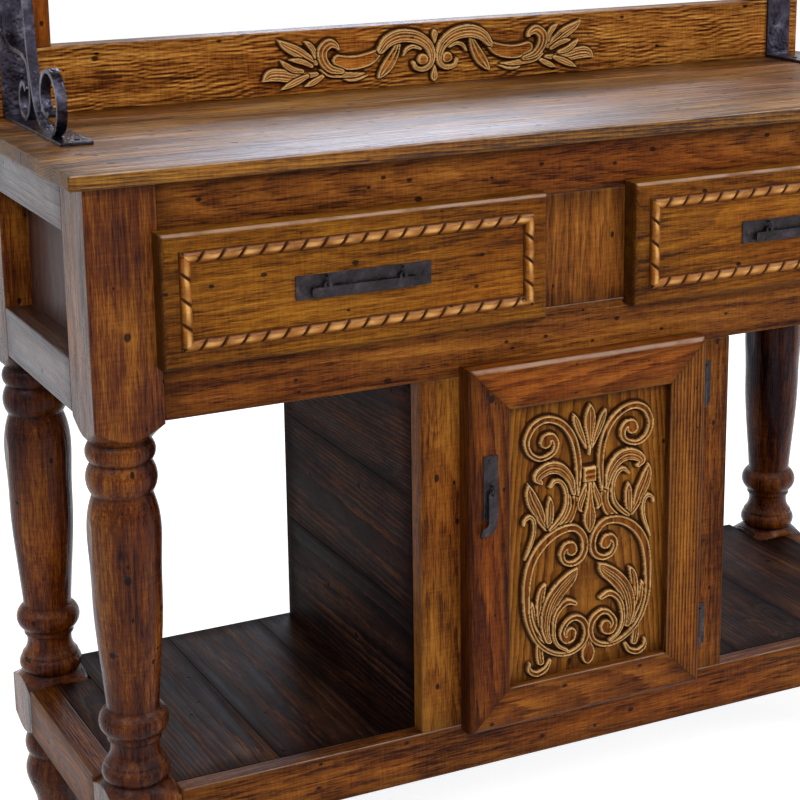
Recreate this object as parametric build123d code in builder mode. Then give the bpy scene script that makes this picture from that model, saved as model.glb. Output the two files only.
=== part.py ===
from build123d import *
import os

# Rustic colonial sideboard with a hutch back. Millimetres, +Z up, front towards -Y.
# The origin is at the middle of the whole piece on the floor.

os.makedirs("parts", exist_ok=True)

# ---- driving dimensions -------------------------------------------------------------------
leg_height = 1000.0          # floor to the underside of the top slab
post = 89.0                  # side of the square leg stock
case_width = 1335.0          # over the outer faces of the posts
case_depth = 465.0           # front face to rear face of the posts
case_height = 293.0          # slab underside to the bottom edge of the case

slab_thickness = 19.0
slab_side_overhang = 21.5
slab_front_overhang = 21.5
slab_rear_overhang = 6.0
softening = 1.5              # rounding of the sawn edges

rail_thickness = 38.0
front_upper_rail_height = 67.0
front_lower_rail_height = 76.0
frame_rail_height = 67.0     # side and rear rails of the case
centre_stile_width = 147.0
panel_thickness = 12.0

shelf_drop = 782.0           # slab underside to the shelf's upper face
shelf_rail_height = 68.0
shelf_rail_thickness = 25.0
shelf_board_thickness = 19.0
shelf_board_count = 8
board_gap = 0.6
cleat = 22.0

cabinet_width = 478.0
cabinet_stile_width = 64.0
cabinet_stile_thickness = 25.0
cabinet_side_thickness = 19.0
cabinet_side_boards = 3
cabinet_back_thickness = 10.0
cabinet_ceiling_thickness = 12.0
cabinet_back_inset = 9.0     # cabinet back's rear face to the case's rear face

door_side_overlay = 7.0
door_top_overlay = 14.0
door_bottom_overlay = 4.0
door_thickness = 30.0
door_gap = 2.0               # door's back to the stiles' front
door_frame_width = 58.0
door_edge_round = 9.0
door_panel_thickness = 8.0
door_panel_recess = 14.0
door_groove_depth = 9.0
groove_clearance = 0.2
door_carving_relief = 9.0

hinge_leaf_thickness = 1.4
hinge_leaf_width = 20.0
hinge_height = 60.0
hinge_knuckle_radius = 4.2
hinge_knuckle_height = 19.6
hinge_pin_radius = 2.0
hinge_pin_clearance = 0.05
hinge_inset = 75.0           # door's end to the hinge's middle
hinge_axis_offset = 6.5      # door's edge to the hinge pin
hinge_axis_depth = 15.0      # stiles' front to the hinge pin

drawer_overlay = 8.0
drawer_front_thickness = 27.0
drawer_front_gap = 0.5
drawer_edge_round = 7.0
drawer_box_height = 132.0
drawer_rear_gap = 43.5         # drawer box to the back panel
drawer_side_thickness = 12.0
drawer_side_gap = 2.0
drawer_bottom_thickness = 6.0
drawer_bottom_raise = 8.0
runner_clearance = 0.4
runner_width = 30.0
runner_height = 38.0
guide_width = 38.0
guide_height = 18.0
kicker_width = 60.0
kicker_clearance = 3.0
rope_margin = 22.0           # drawer front's edge to the rope moulding
rope_width = 15.0
rope_relief = 8.0

handle_plate_length = 183.0
handle_plate_height = 30.0
plate_thickness = 2.2
handle_length = 144.0
handle_height = 13.0
handle_thickness = 2.5
handle_eye_spacing = 102.0
handle_screw_inset = 9.4     # plate's end to its screw's middle
handle_eye_rise = 7.0        # plate's middle to the eyes' middle
ear_radius = 5.5
eye_radius = 6.0             # middle of the eye's wire
eye_wire_radius = 1.4
eye_stand_off = 4.4          # eye's middle to the plate's face
eye_hole_radius = 2.0
screw_radius = 3.6
screw_rise = 1.6
pull_plate_width = 22.0
pull_plate_height = 88.0
pull_plate_drop = 116.0      # door's top edge to the pull plate's top
pull_eye_drop = 46.0         # pull plate's top to its eye
pull_width = 12.0
pull_length = 62.0
pull_thickness = 3.0

backsplash_height = 90.0
hutch_thickness = 38.0
hutch_post_width = 89.0
hutch_inset = 10.0           # case's outer face to the hutch's
hutch_clear_height = 410.0   # slab's upper face to the upper shelf's underside
upper_shelf_thickness = 30.0
splash_carving_relief = 9.0
strap_width = 42.0
strap_inset = 18.0           # hutch's outer face to the strap
strap_thickness = 4.5
strap_reach = 262.0
scroll_bar_width = 13.0
scroll_bar_thickness = 6.5
scroll_bar_inset = 4.0       # strap's outer edge to the scroll bars
strap_screw_rise = 54.0      # strap's ends to the screws beside them
foot_screw_reaches = (244.0, 58.0)            # in front of the hutch
strap_screw_offset = 6.0     # strap's middle to the line of screws

# ---- derived places -----------------------------------------------------------------------
slab_top = leg_height + slab_thickness
case_bottom = leg_height - case_height
shelf_top = leg_height - shelf_drop
shelf_rail_bottom = shelf_top - shelf_rail_height
half_width = case_width / 2
hutch_half = half_width - hutch_inset
post_inner = half_width - post
door_face_reach = door_gap + door_thickness
eye_reach = eye_stand_off + eye_radius + eye_wire_radius
front_reach = door_face_reach + plate_thickness + eye_reach
rear_reach = case_depth + slab_rear_overhang
front = (front_reach - rear_reach) / 2        # the posts' front face
rear = front + case_depth                     # the posts' rear face
hutch_rear = rear + slab_rear_overhang
hutch_front = hutch_rear - hutch_thickness
leg_reach = half_width - post / 2
sides = (("left", -1), ("right", 1))


def keep(piece, name):
    piece.part.label = name
    export_step(piece.part, f"parts/{name}.step")


def keep_group(pieces, name):
    """Separate solids that share one node, such as a plate with its screws."""
    group = Compound(label=name, children=[piece.part for piece in pieces])
    export_step(group, f"parts/{name}.step")


def keep_carving(half, middle, name):
    """Overlapping forms of one half, joined in one step, their mirror image, and the middle."""
    joined = half[0].part.fuse(*[piece.part for piece in half[1:]])
    solids = joined.solids() + mirror(joined, about=Plane.YZ).solids()
    for piece in middle:
        solids += piece.part.solids()
    export_step(Compound(label=name, children=list(solids)), f"parts/{name}.step")


def board(x0, x1, y0, y1, z0, z1, soft=0.0):
    """A rectangular board between its two corners, with softened edges."""
    low_x, high_x = sorted((x0, x1))
    with BuildPart() as piece:
        with BuildSketch(Plane.XY.offset(z0)):
            with Locations(((low_x + high_x) / 2, (y0 + y1) / 2)):
                Rectangle(high_x - low_x, y1 - y0)
        extrude(amount=z1 - z0)
        if soft > 0:
            fillet(piece.edges(), radius=soft)
    return piece


# ---- legs ---------------------------------------------------------------------------------
post_half = post / 2
corner = post * 0.75                          # clears the square's corners when turned
pommel = post_half * 1.414 + 0.2              # where the turning meets the square's corners
bead = post_half - 0.3
groove = post_half - 7.3
vase_foot = post_half - 11.3
neck = post_half - 12.0
floor_radius = post_half - 10.3
chamfer_height = 4.0
block_foot_inset = 4.0                        # the squares' ends to the rails' edges
block_top_inset = 7.0
step = 1.5                                    # small step beside a bead

# Turned runs from the bottom up, each as its height, middle radius and end radius.
foot_runs = (
    (35.0, bead - 1, groove),
    (21.0, post_half + 3, pommel),
)
lower_runs = (
    (18.0, post_half + 3, groove + 1),
    (23.0, bead - 0.5, groove + 2),
    (3.0, groove + 2, groove + 2),
    (29.0, neck - 1, neck),
    (8.0, vase_foot + step, vase_foot + step),
    (36.0, bead, vase_foot),
)
upper_runs = (
    (41.0, bead, groove),
    (27.0, bead - 0.8, groove),
    (25.0, post_half + 4, pommel),
)
# Smooth turned forms, each point as a share of the form's height and a radius.
foot_ball = ((0, floor_radius), (0.5, bead - 6), (0.78, bead), (0.94, bead - 4), (1, groove))
vase = (
    (0, vase_foot),
    (0.23, vase_foot + 5.3),
    (0.47, bead - 1),
    (0.67, bead),
    (0.91, bead),
    (1, groove),
)


def turned_runs(x, z, radius, runs):
    """Arcs one on the other, starting at a height and a radius."""
    for height, middle_radius, end_radius in runs:
        if middle_radius == end_radius:
            Polyline((x + radius, z), (x + end_radius, z + step), (x + end_radius, z + height))
        else:
            ThreePointArc(
                (x + radius, z),
                (x + middle_radius, z + height / 2),
                (x + end_radius, z + height),
            )
        z += height
        radius = end_radius


def turned_form(x, low, high, shape):
    """One smooth form between two heights."""
    Spline(*[(x + radius, low + share * (high - low)) for share, radius in shape])


def runs_height(runs):
    return sum(height for height, _, _ in runs)


def leg(x, y):
    """A leg turned from square stock: the square stays at the case and at the shelf."""
    block_bottom = shelf_rail_bottom + block_foot_inset
    block_top = shelf_top - block_top_inset
    foot_top = block_bottom - runs_height(foot_runs)
    vase_low = block_top + runs_height(lower_runs)
    top_end = case_bottom - 2 * softening
    vase_high = top_end - runs_height(upper_runs)
    with BuildPart() as piece:
        with BuildSketch(Plane.XZ.offset(-y)):
            with BuildLine():
                Polyline((x, leg_height), (x, 0), (x + floor_radius, 0))
                turned_form(x, 0, foot_top, foot_ball)
                turned_runs(x, foot_top, groove, foot_runs)
                Polyline(
                    (x + pommel, block_bottom),
                    (x + corner, block_bottom + chamfer_height),
                    (x + corner, block_top - chamfer_height),
                    (x + pommel, block_top),
                )
                turned_runs(x, block_top, pommel, lower_runs)
                turned_form(x, vase_low, vase_high, vase)
                turned_runs(x, vase_high, groove, upper_runs)
                Polyline(
                    (x + pommel, top_end),
                    (x + corner, top_end + chamfer_height),
                    (x + corner, leg_height),
                    (x, leg_height),
                )
            make_face()
        revolve(axis=Axis((x, y, 0), (0, 0, 1)))
        with BuildSketch(Plane.XY):
            with Locations((x, y)):
                RectangleRounded(post, post, softening)
        extrude(amount=leg_height, mode=Mode.INTERSECT)
    return piece


for side, sx in sides:
    keep(leg(sx * leg_reach, front + post_half), f"leg_front_{side}")
    keep(leg(sx * leg_reach, rear - post_half), f"leg_rear_{side}")

# ---- top slab -----------------------------------------------------------------------------
slab_half = half_width + slab_side_overhang
top_slab = board(
    -slab_half,
    slab_half,
    front - slab_front_overhang,
    rear + slab_rear_overhang,
    leg_height,
    slab_top,
    2 * softening,
)
keep(top_slab, "top_slab")

# ---- case frame ---------------------------------------------------------------------------
rail_back = front + rail_thickness
lower_rail_top = case_bottom + front_lower_rail_height
upper_rail_bottom = leg_height - front_upper_rail_height
frame_lower_top = case_bottom + frame_rail_height
frame_upper_bottom = leg_height - frame_rail_height
stile_half = centre_stile_width / 2

keep(
    board(-post_inner, post_inner, front, rail_back, upper_rail_bottom, leg_height, softening),
    "front_upper_rail",
)
keep(
    board(-post_inner, post_inner, front, rail_back, case_bottom, lower_rail_top, softening),
    "front_lower_rail",
)
keep(
    board(-stile_half, stile_half, front, rail_back, lower_rail_top, upper_rail_bottom, softening),
    "centre_stile",
)

rear_rail_face = rear - rail_thickness
keep(
    board(-post_inner, post_inner, rear_rail_face, rear, frame_upper_bottom, leg_height, softening),
    "rear_upper_rail",
)
keep(
    board(-post_inner, post_inner, rear_rail_face, rear, case_bottom, frame_lower_top, softening),
    "rear_lower_rail",
)
back_panel_front = rear_rail_face - panel_thickness
keep(
    board(-post_inner, post_inner, back_panel_front, rear_rail_face, case_bottom, leg_height),
    "back_panel",
)

side_front = front + post
side_rear = rear - post
for side, sx in sides:
    outer = sx * half_width
    recess = sx * (half_width - rail_thickness)
    inner = sx * (half_width - rail_thickness - panel_thickness)
    upper = board(outer, recess, side_front, side_rear, frame_upper_bottom, leg_height, softening)
    keep(upper, f"side_upper_rail_{side}")
    lower = board(outer, recess, side_front, side_rear, case_bottom, frame_lower_top, softening)
    keep(lower, f"side_lower_rail_{side}")
    panel = board(recess, inner, side_front, side_rear, case_bottom, leg_height)
    keep(panel, f"side_panel_{side}")

# ---- drawer guides ------------------------------------------------------------------------
opening_outer = post_inner                    # the drawer opening's outer and inner ends
opening_inner = stile_half
opening_middle = (opening_outer + opening_inner) / 2
box_bottom = lower_rail_top + runner_clearance
box_top = box_bottom + drawer_box_height
kicker_bottom = box_top + kicker_clearance


def centre_runner(sx):
    """An L-shaped runner: a guide beside the drawer box on a strip under it."""
    wall = sx * (opening_inner - guide_width)
    edge = sx * opening_inner
    reach = sx * (opening_inner + runner_width)
    with BuildPart() as piece:
        with BuildSketch(Plane.XZ.offset(-rail_back)):
            with BuildLine():
                Polyline(
                    (wall, lower_rail_top - runner_height),
                    (reach, lower_rail_top - runner_height),
                    (reach, lower_rail_top),
                    (edge, lower_rail_top),
                    (edge, lower_rail_top + guide_height),
                    (wall, lower_rail_top + guide_height),
                    close=True,
                )
            make_face()
        extrude(amount=-(back_panel_front - rail_back))
    return piece


guides = []
for _, sx in sides:
    outer_runner = board(
        sx * opening_outer,
        sx * (opening_outer - runner_width),
        rail_back,
        back_panel_front,
        lower_rail_top - runner_height,
        lower_rail_top,
    )
    kicker = board(
        sx * (opening_middle - kicker_width / 2),
        sx * (opening_middle + kicker_width / 2),
        rail_back,
        back_panel_front,
        kicker_bottom,
        leg_height,
    )
    guides += [outer_runner, centre_runner(sx), kicker]
keep_group(guides, "drawer_guides")

# ---- shelf --------------------------------------------------------------------------------
shelf_front = front + shelf_rail_thickness
board_bottom = shelf_top - shelf_board_thickness
keep(
    board(-post_inner, post_inner, front, shelf_front, shelf_rail_bottom, shelf_top, softening),
    "shelf_front_rail",
)
keep(
    board(
        -post_inner,
        post_inner,
        rear - shelf_rail_thickness,
        rear,
        shelf_rail_bottom,
        board_bottom,
        softening,
    ),
    "shelf_rear_rail",
)
for side, sx in sides:
    stretcher = board(
        sx * half_width,
        sx * (half_width - rail_thickness),
        side_front,
        side_rear,
        shelf_rail_bottom,
        shelf_top,
        softening,
    )
    keep(stretcher, f"shelf_stretcher_{side}")

front_cleat = board(
    -post_inner,
    post_inner,
    shelf_front,
    shelf_front + cleat,
    board_bottom - cleat,
    board_bottom,
)
stretcher_inner = half_width - rail_thickness
cleats = [front_cleat]
for _, sx in sides:
    side_cleat = board(
        sx * stretcher_inner,
        sx * (stretcher_inner - cleat),
        side_front,
        side_rear,
        board_bottom - cleat,
        board_bottom,
    )
    cleats.append(side_cleat)
keep_group(cleats, "shelf_cleats")

pitch = 2 * post_inner / shelf_board_count
planks = []
for index in range(shelf_board_count):
    start = -post_inner + index * pitch
    plank = board(
        start + board_gap / 2,
        start + pitch - board_gap / 2,
        shelf_front,
        rear,
        board_bottom,
        shelf_top,
    )
    planks.append(plank)
for _, sx in sides:
    end_plank = board(
        sx * (post_inner + board_gap / 2),
        sx * stretcher_inner,
        side_front,
        side_rear,
        board_bottom,
        shelf_top,
    )
    planks.append(end_plank)
keep_group(planks, "shelf_boards")

# ---- cabinet ------------------------------------------------------------------------------
cabinet_half = cabinet_width / 2
cabinet_front = front + cabinet_stile_thickness
cabinet_rear = rear - cabinet_back_inset
cabinet_back_face = cabinet_rear - cabinet_back_thickness
cabinet_inner = cabinet_half - cabinet_side_thickness
cabinet_height = case_bottom - shelf_top
side_board_height = cabinet_height / cabinet_side_boards
for side, sx in sides:
    stile = board(
        sx * cabinet_half,
        sx * (cabinet_half - cabinet_stile_width),
        front,
        cabinet_front,
        shelf_top,
        case_bottom,
        softening,
    )
    keep(stile, f"cabinet_stile_{side}")
    side_boards = []
    for index in range(cabinet_side_boards):
        low = shelf_top + index * side_board_height
        side_board = board(
            sx * cabinet_half,
            sx * cabinet_inner,
            cabinet_front,
            cabinet_back_face,
            low + (board_gap if index > 0 else 0),
            low + side_board_height,
        )
        side_boards.append(side_board)
    keep_group(side_boards, f"cabinet_side_{side}")
keep(
    board(-cabinet_half, cabinet_half, cabinet_back_face, cabinet_rear, shelf_top, case_bottom),
    "cabinet_back",
)
keep(
    board(
        -cabinet_inner,
        cabinet_inner,
        cabinet_front,
        cabinet_back_face,
        case_bottom - cabinet_ceiling_thickness,
        case_bottom,
    ),
    "cabinet_ceiling",
)

# ---- hutch --------------------------------------------------------------------------------
splash_top = slab_top + backsplash_height
hutch_top = slab_top + hutch_clear_height
upper_shelf_front = hutch_front - strap_reach
keep(
    board(-hutch_half, hutch_half, hutch_front, hutch_rear, slab_top, splash_top, softening),
    "backsplash",
)
for side, sx in sides:
    hutch_post = board(
        sx * hutch_half,
        sx * (hutch_half - hutch_post_width),
        hutch_front,
        hutch_rear,
        splash_top,
        hutch_top,
        softening,
    )
    keep(hutch_post, f"hutch_post_{side}")
keep(
    board(
        -slab_half,
        slab_half,
        upper_shelf_front,
        hutch_rear,
        hutch_top,
        hutch_top + upper_shelf_thickness,
        2 * softening,
    ),
    "upper_shelf",
)


def ribbon(plane, points, width, depth, tangents=None):
    """A bar of constant width along a smooth line drawn on a plane, raised by depth."""
    with BuildPart() as piece:
        with BuildSketch(plane):
            with BuildLine() as path:
                Spline(*points, tangents=tangents)
            trace(path.line, line_width=width)
        extrude(amount=depth)
    return piece


# The bracket's scrolls, as distance in front of the hutch and height above the slab.
bow_half = [
    (112, 156),
    (117, 112),
    (128, 66),
    (145, 28),
    (168, 10),
    (197, 6),
    (226, 15),
    (240, 42),
    (233, 70),
    (209, 86),
    (184, 80),
    (171, 60),
    (174, 40),
    (189, 30),
    (203, 34),
]
curl_half = [
    (7, 134),
    (14, 112),
    (40, 99),
    (84, 96),
    (114, 84),
    (121, 58),
    (117, 30),
    (98, 13),
    (78, 20),
    (73, 42),
    (87, 57),
    (102, 49),
]


def mirrored_scroll(half, apex):
    """A scroll line and its mirror image about the bracket's middle height."""
    lower = [(u, min(v, hutch_clear_height / 2)) for u, v in half]
    upper = [(u, hutch_clear_height - v) for u, v in lower]
    return list(reversed(upper)) + [(apex, hutch_clear_height / 2)] + lower


strap_middle = hutch_half - strap_inset - strap_width / 2
scroll_middle = strap_middle + (strap_width - scroll_bar_width) / 2 - scroll_bar_inset


def bracket(sx):
    """A wrought-iron bracket: a C-shaped strap, a bowed bar with volutes and inner curls."""
    strap_right = sx * strap_middle + strap_width / 2
    scroll_left = sx * scroll_middle - scroll_bar_width / 2
    strap_plane = Plane.YZ.offset(strap_right)
    with BuildPart() as piece:
        with BuildSketch(strap_plane):
            with BuildLine():
                Polyline(
                    (hutch_front, slab_top),
                    (hutch_front - strap_reach, slab_top),
                    (hutch_front - strap_reach, slab_top + strap_thickness),
                    (hutch_front - strap_thickness, slab_top + strap_thickness),
                    (hutch_front - strap_thickness, hutch_top - strap_thickness),
                    (hutch_front - strap_reach, hutch_top - strap_thickness),
                    (hutch_front - strap_reach, hutch_top),
                    (hutch_front, hutch_top),
                    close=True,
                )
            make_face()
        extrude(amount=-strap_width)
        for half, apex in ((bow_half, 105), (curl_half, 5)):
            line = mirrored_scroll(half, apex)
            points = [(hutch_front - u, slab_top + v) for u, v in line]
            bar = ribbon(
                Plane.YZ.offset(scroll_left), points, scroll_bar_thickness, scroll_bar_width
            )
            add(bar.part)
    return piece


for side, sx in sides:
    keep(bracket(sx), f"bracket_{side}")


# ---- ironwork helpers ---------------------------------------------------------------------
def plate(x, z, width, height, face):
    """A thin iron plate lying on a vertical face; returns the plate alone."""
    return board(
        x - width / 2,
        x + width / 2,
        face - plate_thickness,
        face,
        z - height / 2,
        z + height / 2,
        plate_thickness * 0.3,
    )


def eye(x, z, face):
    """A wire eye standing out of a vertical face, its loop open sideways."""
    middle = face - eye_stand_off
    with BuildPart() as piece:
        with BuildSketch(Plane.XY.offset(z)):
            with Locations((x, middle - eye_radius)):
                Circle(eye_wire_radius)
        revolve(axis=Axis((x, middle, z), (1, 0, 0)))
        split(bisect_by=Plane.XZ.offset(-face), keep=Keep.TOP)
    return piece


def screw_head(x, z, face):
    """A domed screw head on a vertical face."""
    with BuildPart() as piece:
        with BuildSketch(Plane.XZ.offset(-face)):
            with Locations((x, z)):
                Circle(screw_radius)
        extrude(amount=screw_rise)
        fillet(piece.faces().sort_by(Axis.Y)[0].edges(), radius=screw_rise * 0.7)
    return piece


# ---- bracket screws and carving on the hutch ----------------------------------------------
strap_face = hutch_front - strap_thickness
screw_heights = (
    slab_top + strap_screw_rise,
    slab_top + hutch_clear_height / 2,
    hutch_top - strap_screw_rise,
)
screw_line = strap_middle - strap_screw_offset
bracket_screws = []
for _, sx in sides:
    for height in screw_heights:
        bracket_screws.append(screw_head(sx * screw_line, height, strap_face))
    for reach in foot_screw_reaches:
        with BuildPart() as foot_screw:
            with BuildSketch(Plane.XY.offset(slab_top + strap_thickness)):
                with Locations((sx * screw_line, hutch_front - reach)):
                    Circle(screw_radius)
            extrude(amount=screw_rise)
            fillet(foot_screw.faces().sort_by(Axis.Z)[-1].edges(), radius=screw_rise * 0.7)
        bracket_screws.append(foot_screw)
keep_group(bracket_screws, "bracket_screws")

def tapered(plane, rows, depth, base):
    """A raised band or leaf: rows of distance from the middle, height and half width."""
    middle = [(a, base + b) for a, b, _ in rows]
    left, right = [], []
    for k, (_, _, half) in enumerate(rows):
        before = middle[max(k - 1, 0)]
        after = middle[min(k + 1, len(rows) - 1)]
        run = (Vector(*after) - Vector(*before)).normalized()
        left.append((middle[k][0] - run.Y * half, middle[k][1] + run.X * half))
        right.append((middle[k][0] + run.Y * half, middle[k][1] - run.X * half))
    with BuildPart() as piece:
        with BuildSketch(plane):
            with BuildLine():
                Spline(*left)
                Line(left[-1], right[-1])
                Spline(*reversed(right))
                Line(right[0], left[0])
            make_face()
        extrude(amount=depth)
    return piece


def boss(plane, place, radius, depth):
    """A round boss, as at the eye of a carved scroll."""
    with BuildPart() as piece:
        with BuildSketch(plane):
            with Locations(place):
                Circle(radius)
        extrude(amount=depth)
    return piece


# Carved forms: distance from the middle, height above the board's lower edge, half width.
splash_crest = [
    (90, 52, 4),
    (78, 65, 8),
    (60, 73, 9),
    (40, 73, 9),
    (22, 66, 8),
    (10, 54, 6),
    (7, 40, 4),
    (13, 28, 3),
    (24, 25, 2.5),
]
splash_hanging_leaf = [(62, 62, 4), (68, 47, 7), (77, 31, 7), (88, 15, 1)]
splash_wave = [(94, 50, 6), (110, 46, 9), (130, 44, 9), (148, 46, 7), (158, 52, 2)]
splash_hook = [(150, 29, 3), (168, 34, 5), (178, 48, 6), (177, 62, 6), (168, 70, 4), (158, 68, 1.5)]
splash_leaves = [
    [(248, 78, 1), (236, 70, 6), (220, 61, 8), (204, 52, 6), (188, 44, 2)],
    [(272, 21, 1), (260, 28, 7), (242, 29, 8), (222, 27, 6), (190, 28, 2)],
    [(240, 9, 1), (226, 15, 4), (212, 20, 4), (200, 26, 2)],
    [(112, 22, 1), (130, 21, 3), (152, 24, 4), (172, 29, 2)],
]
splash_eye = (20, 38)
splash_eye_radius = 8.0
hutch_plane = Plane.XZ.offset(-hutch_front)
# How high each kind of carved form stands, as a share of the full relief.
leaf_share, band_share, middle_share, eye_share, tie_share = 0.7, 0.85, 0.8, 0.9, 0.95
splash_bands = [
    (splash_leaves + [splash_hanging_leaf], leaf_share),
    ([splash_wave, splash_hook], band_share),
    ([splash_crest], 1.0),
]
splash_forms = []
for shapes, share in splash_bands:
    for rows in shapes:
        relief = splash_carving_relief * share
        splash_forms.append(tapered(hutch_plane, rows, relief, slab_top))
splash_eye_place = (splash_eye[0], slab_top + splash_eye[1])
splash_forms.append(
    boss(hutch_plane, splash_eye_place, splash_eye_radius, splash_carving_relief * eye_share)
)
keep_carving(splash_forms, [], "backsplash_carving")

# ---- door ---------------------------------------------------------------------------------
door_half = cabinet_half - cabinet_stile_width + door_side_overlay
door_bottom = shelf_top - door_bottom_overlay
door_top = case_bottom + door_top_overlay
door_back = front - door_gap
door_face = door_back - door_thickness
door_inner_half = door_half - door_frame_width
door_inner_bottom = door_bottom + door_frame_width
door_inner_top = door_top - door_frame_width
panel_face = door_face + door_panel_recess
panel_back = panel_face + door_panel_thickness


def door_member(corners, outer_axis, end, groove):
    """A mitred member: its outer front edge rounded and its inner edge grooved."""
    with BuildPart() as piece:
        with BuildSketch(Plane.XZ.offset(-door_back)):
            with BuildLine():
                Polyline(*corners, close=True)
            make_face()
        extrude(amount=door_thickness)
        long_axis = Axis.Z if outer_axis == Axis.X else Axis.X
        outer_edges = piece.edges().filter_by(long_axis).group_by(outer_axis)[end]
        fillet(outer_edges.sort_by(Axis.Y)[0], radius=door_edge_round)
        x0, x1, z0, z1 = groove
        with BuildSketch(Plane.XZ.offset(-(panel_back + groove_clearance))):
            with Locations(((x0 + x1) / 2, (z0 + z1) / 2)):
                Rectangle(abs(x1 - x0), z1 - z0)
        extrude(amount=door_panel_thickness + 2 * groove_clearance, mode=Mode.SUBTRACT)
    return piece


groove_half = door_inner_half + door_groove_depth
groove_bottom = door_inner_bottom - door_groove_depth
groove_top = door_inner_top + door_groove_depth
groove_box = (-groove_half, groove_half, groove_bottom, groove_top)
for side, sx in sides:
    member = door_member(
        [
            (sx * door_half, door_bottom),
            (sx * door_inner_half, door_inner_bottom),
            (sx * door_inner_half, door_inner_top),
            (sx * door_half, door_top),
        ],
        Axis.X,
        0 if sx < 0 else -1,
        groove_box,
    )
    keep(member, f"door_stile_{side}")
for name, outer_z, inner_z, end in (
    ("door_bottom_rail", door_bottom, door_inner_bottom, 0),
    ("door_top_rail", door_top, door_inner_top, -1),
):
    member = door_member(
        [
            (-door_half, outer_z),
            (door_half, outer_z),
            (door_inner_half, inner_z),
            (-door_inner_half, inner_z),
        ],
        Axis.Z,
        end,
        groove_box,
    )
    keep(member, name)
door_panel = board(
    -groove_half + groove_clearance,
    groove_half - groove_clearance,
    panel_face,
    panel_back,
    groove_bottom + groove_clearance,
    groove_top - groove_clearance,
)
keep(door_panel, "door_panel")

# Carved forms: distance from the middle, height from the door's middle, half width.
door_scrolls = [
    [
        (19, 60, 2),
        (18, 102, 4.5),
        (28, 144, 5),
        (52, 166, 5),
        (80, 167, 5),
        (94, 145, 4.5),
        (86, 122, 4),
        (66, 118, 3),
    ],
    [
        (40, -30, 3.5),
        (23, -38, 4),
        (9, -20, 4.5),
        (14, 5, 5),
        (38, 13, 5),
        (68, 0, 6),
        (90, -35, 6),
        (95, -80, 5),
        (88, -124, 4),
        (60, -160, 3.5),
        (28, -167, 3.5),
        (9, -152, 4),
        (8, -126, 4.5),
        (26, -118, 3),
    ],
    [(23, -95, 3), (38, -93, 4), (50, -108, 3.5), (54, -130, 3), (48, -152, 2.5)],
    [(60, 77, 2), (50, 83, 3), (40, 74, 3), (36, 54, 3), (44, 32, 3), (58, 17, 2.5)],
]
door_scroll_eyes = [(65, 137), (28, -19), (29, -137)]
door_eye_radius = 12.0
door_leaves = [
    [(26, 58, 4), (31, 82, 6), (45, 98, 7), (62, 103, 7), (78, 94, 4)],
    [(93, 85, 1), (89, 66, 7), (82, 48, 8), (72, 28, 6), (64, 14, 3)],
    [(61, 61, 1), (61, 48, 5), (61, 32, 5), (60, 16, 3)],
    [(99, 33, 1.5), (91, 37, 2.5), (85, 22, 2.5), (90, -2, 2), (97, -20, 1)],
    [(17, -45, 1), (28, -58, 8), (46, -73, 10), (60, -98, 10), (64, -126, 8), (60, -148, 4)],
    [(66, -61, 1.5), (73, -78, 5), (75, -100, 6), (72, -122, 4)],
    [(86, -85, 1.5), (86, -104, 5), (80, -124, 5), (68, -144, 3)],
    [(25, 172, 1), (20, 158, 4), (12, 140, 4), (5, 124, 2)],
    [(6, 72, 2), (12, 54, 4), (15, 42, 3), (12, 33, 1)],
    [(77, -146, 4), (75, -160, 5), (74, -174, 4)],
    [(91, -172, 1.5), (88, -184, 3), (76, -188, 3.5), (63, -180, 3), (60, -173, 1.5)],
]
door_middle_leaves = [
    [(0, 183, 1), (0, 160, 8), (0, 140, 5), (0, 112, 1)],
    [(0, 70, 3), (0, 45, 5), (0, 29, 7), (0, 14, 1)],
    [(0, -160, 1), (0, -173, 4), (0, -187, 1)],
]
door_tie_width = 20.0
door_tie = (73.0, 97.0)                       # lower and upper end of the carved tie
door_middle = (door_bottom + door_top) / 2
carving_plane = Plane.XZ.offset(-panel_face)
door_forms = []
for shapes, share in ((door_leaves, leaf_share), (door_scrolls, 1.0)):
    for rows in shapes:
        relief = door_carving_relief * share
        door_forms.append(tapered(carving_plane, rows, relief, door_middle))
for a, b in door_scroll_eyes:
    relief = door_carving_relief * eye_share
    door_forms.append(boss(carving_plane, (a, door_middle + b), door_eye_radius, relief))
middle_forms = []
for rows in door_middle_leaves:
    relief = door_carving_relief * middle_share
    middle_forms.append(tapered(carving_plane, rows, relief, door_middle))
tie = board(
    -door_tie_width / 2,
    door_tie_width / 2,
    panel_face - door_carving_relief * tie_share,
    panel_face,
    door_middle + door_tie[0],
    door_middle + door_tie[1],
)
keep_carving(door_forms, middle_forms + [tie], "door_carving")

# ---- door hinges --------------------------------------------------------------------------
hinge_x = door_half + hinge_axis_offset
hinge_y = front - hinge_axis_depth
hinge_middles = (door_bottom + hinge_inset, door_top - hinge_inset)
knuckle_pitch = (hinge_height - hinge_knuckle_height) / 2
bore_radius = hinge_pin_radius + hinge_pin_clearance


def knuckle(z):
    """One bored knuckle of a hinge, centred at a height."""
    with BuildPart() as piece:
        with BuildSketch(Plane.XY.offset(z - hinge_knuckle_height / 2)):
            with Locations((hinge_x, hinge_y)):
                Circle(hinge_knuckle_radius)
                Circle(bore_radius, mode=Mode.SUBTRACT)
        extrude(amount=hinge_knuckle_height)
    return piece


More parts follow.
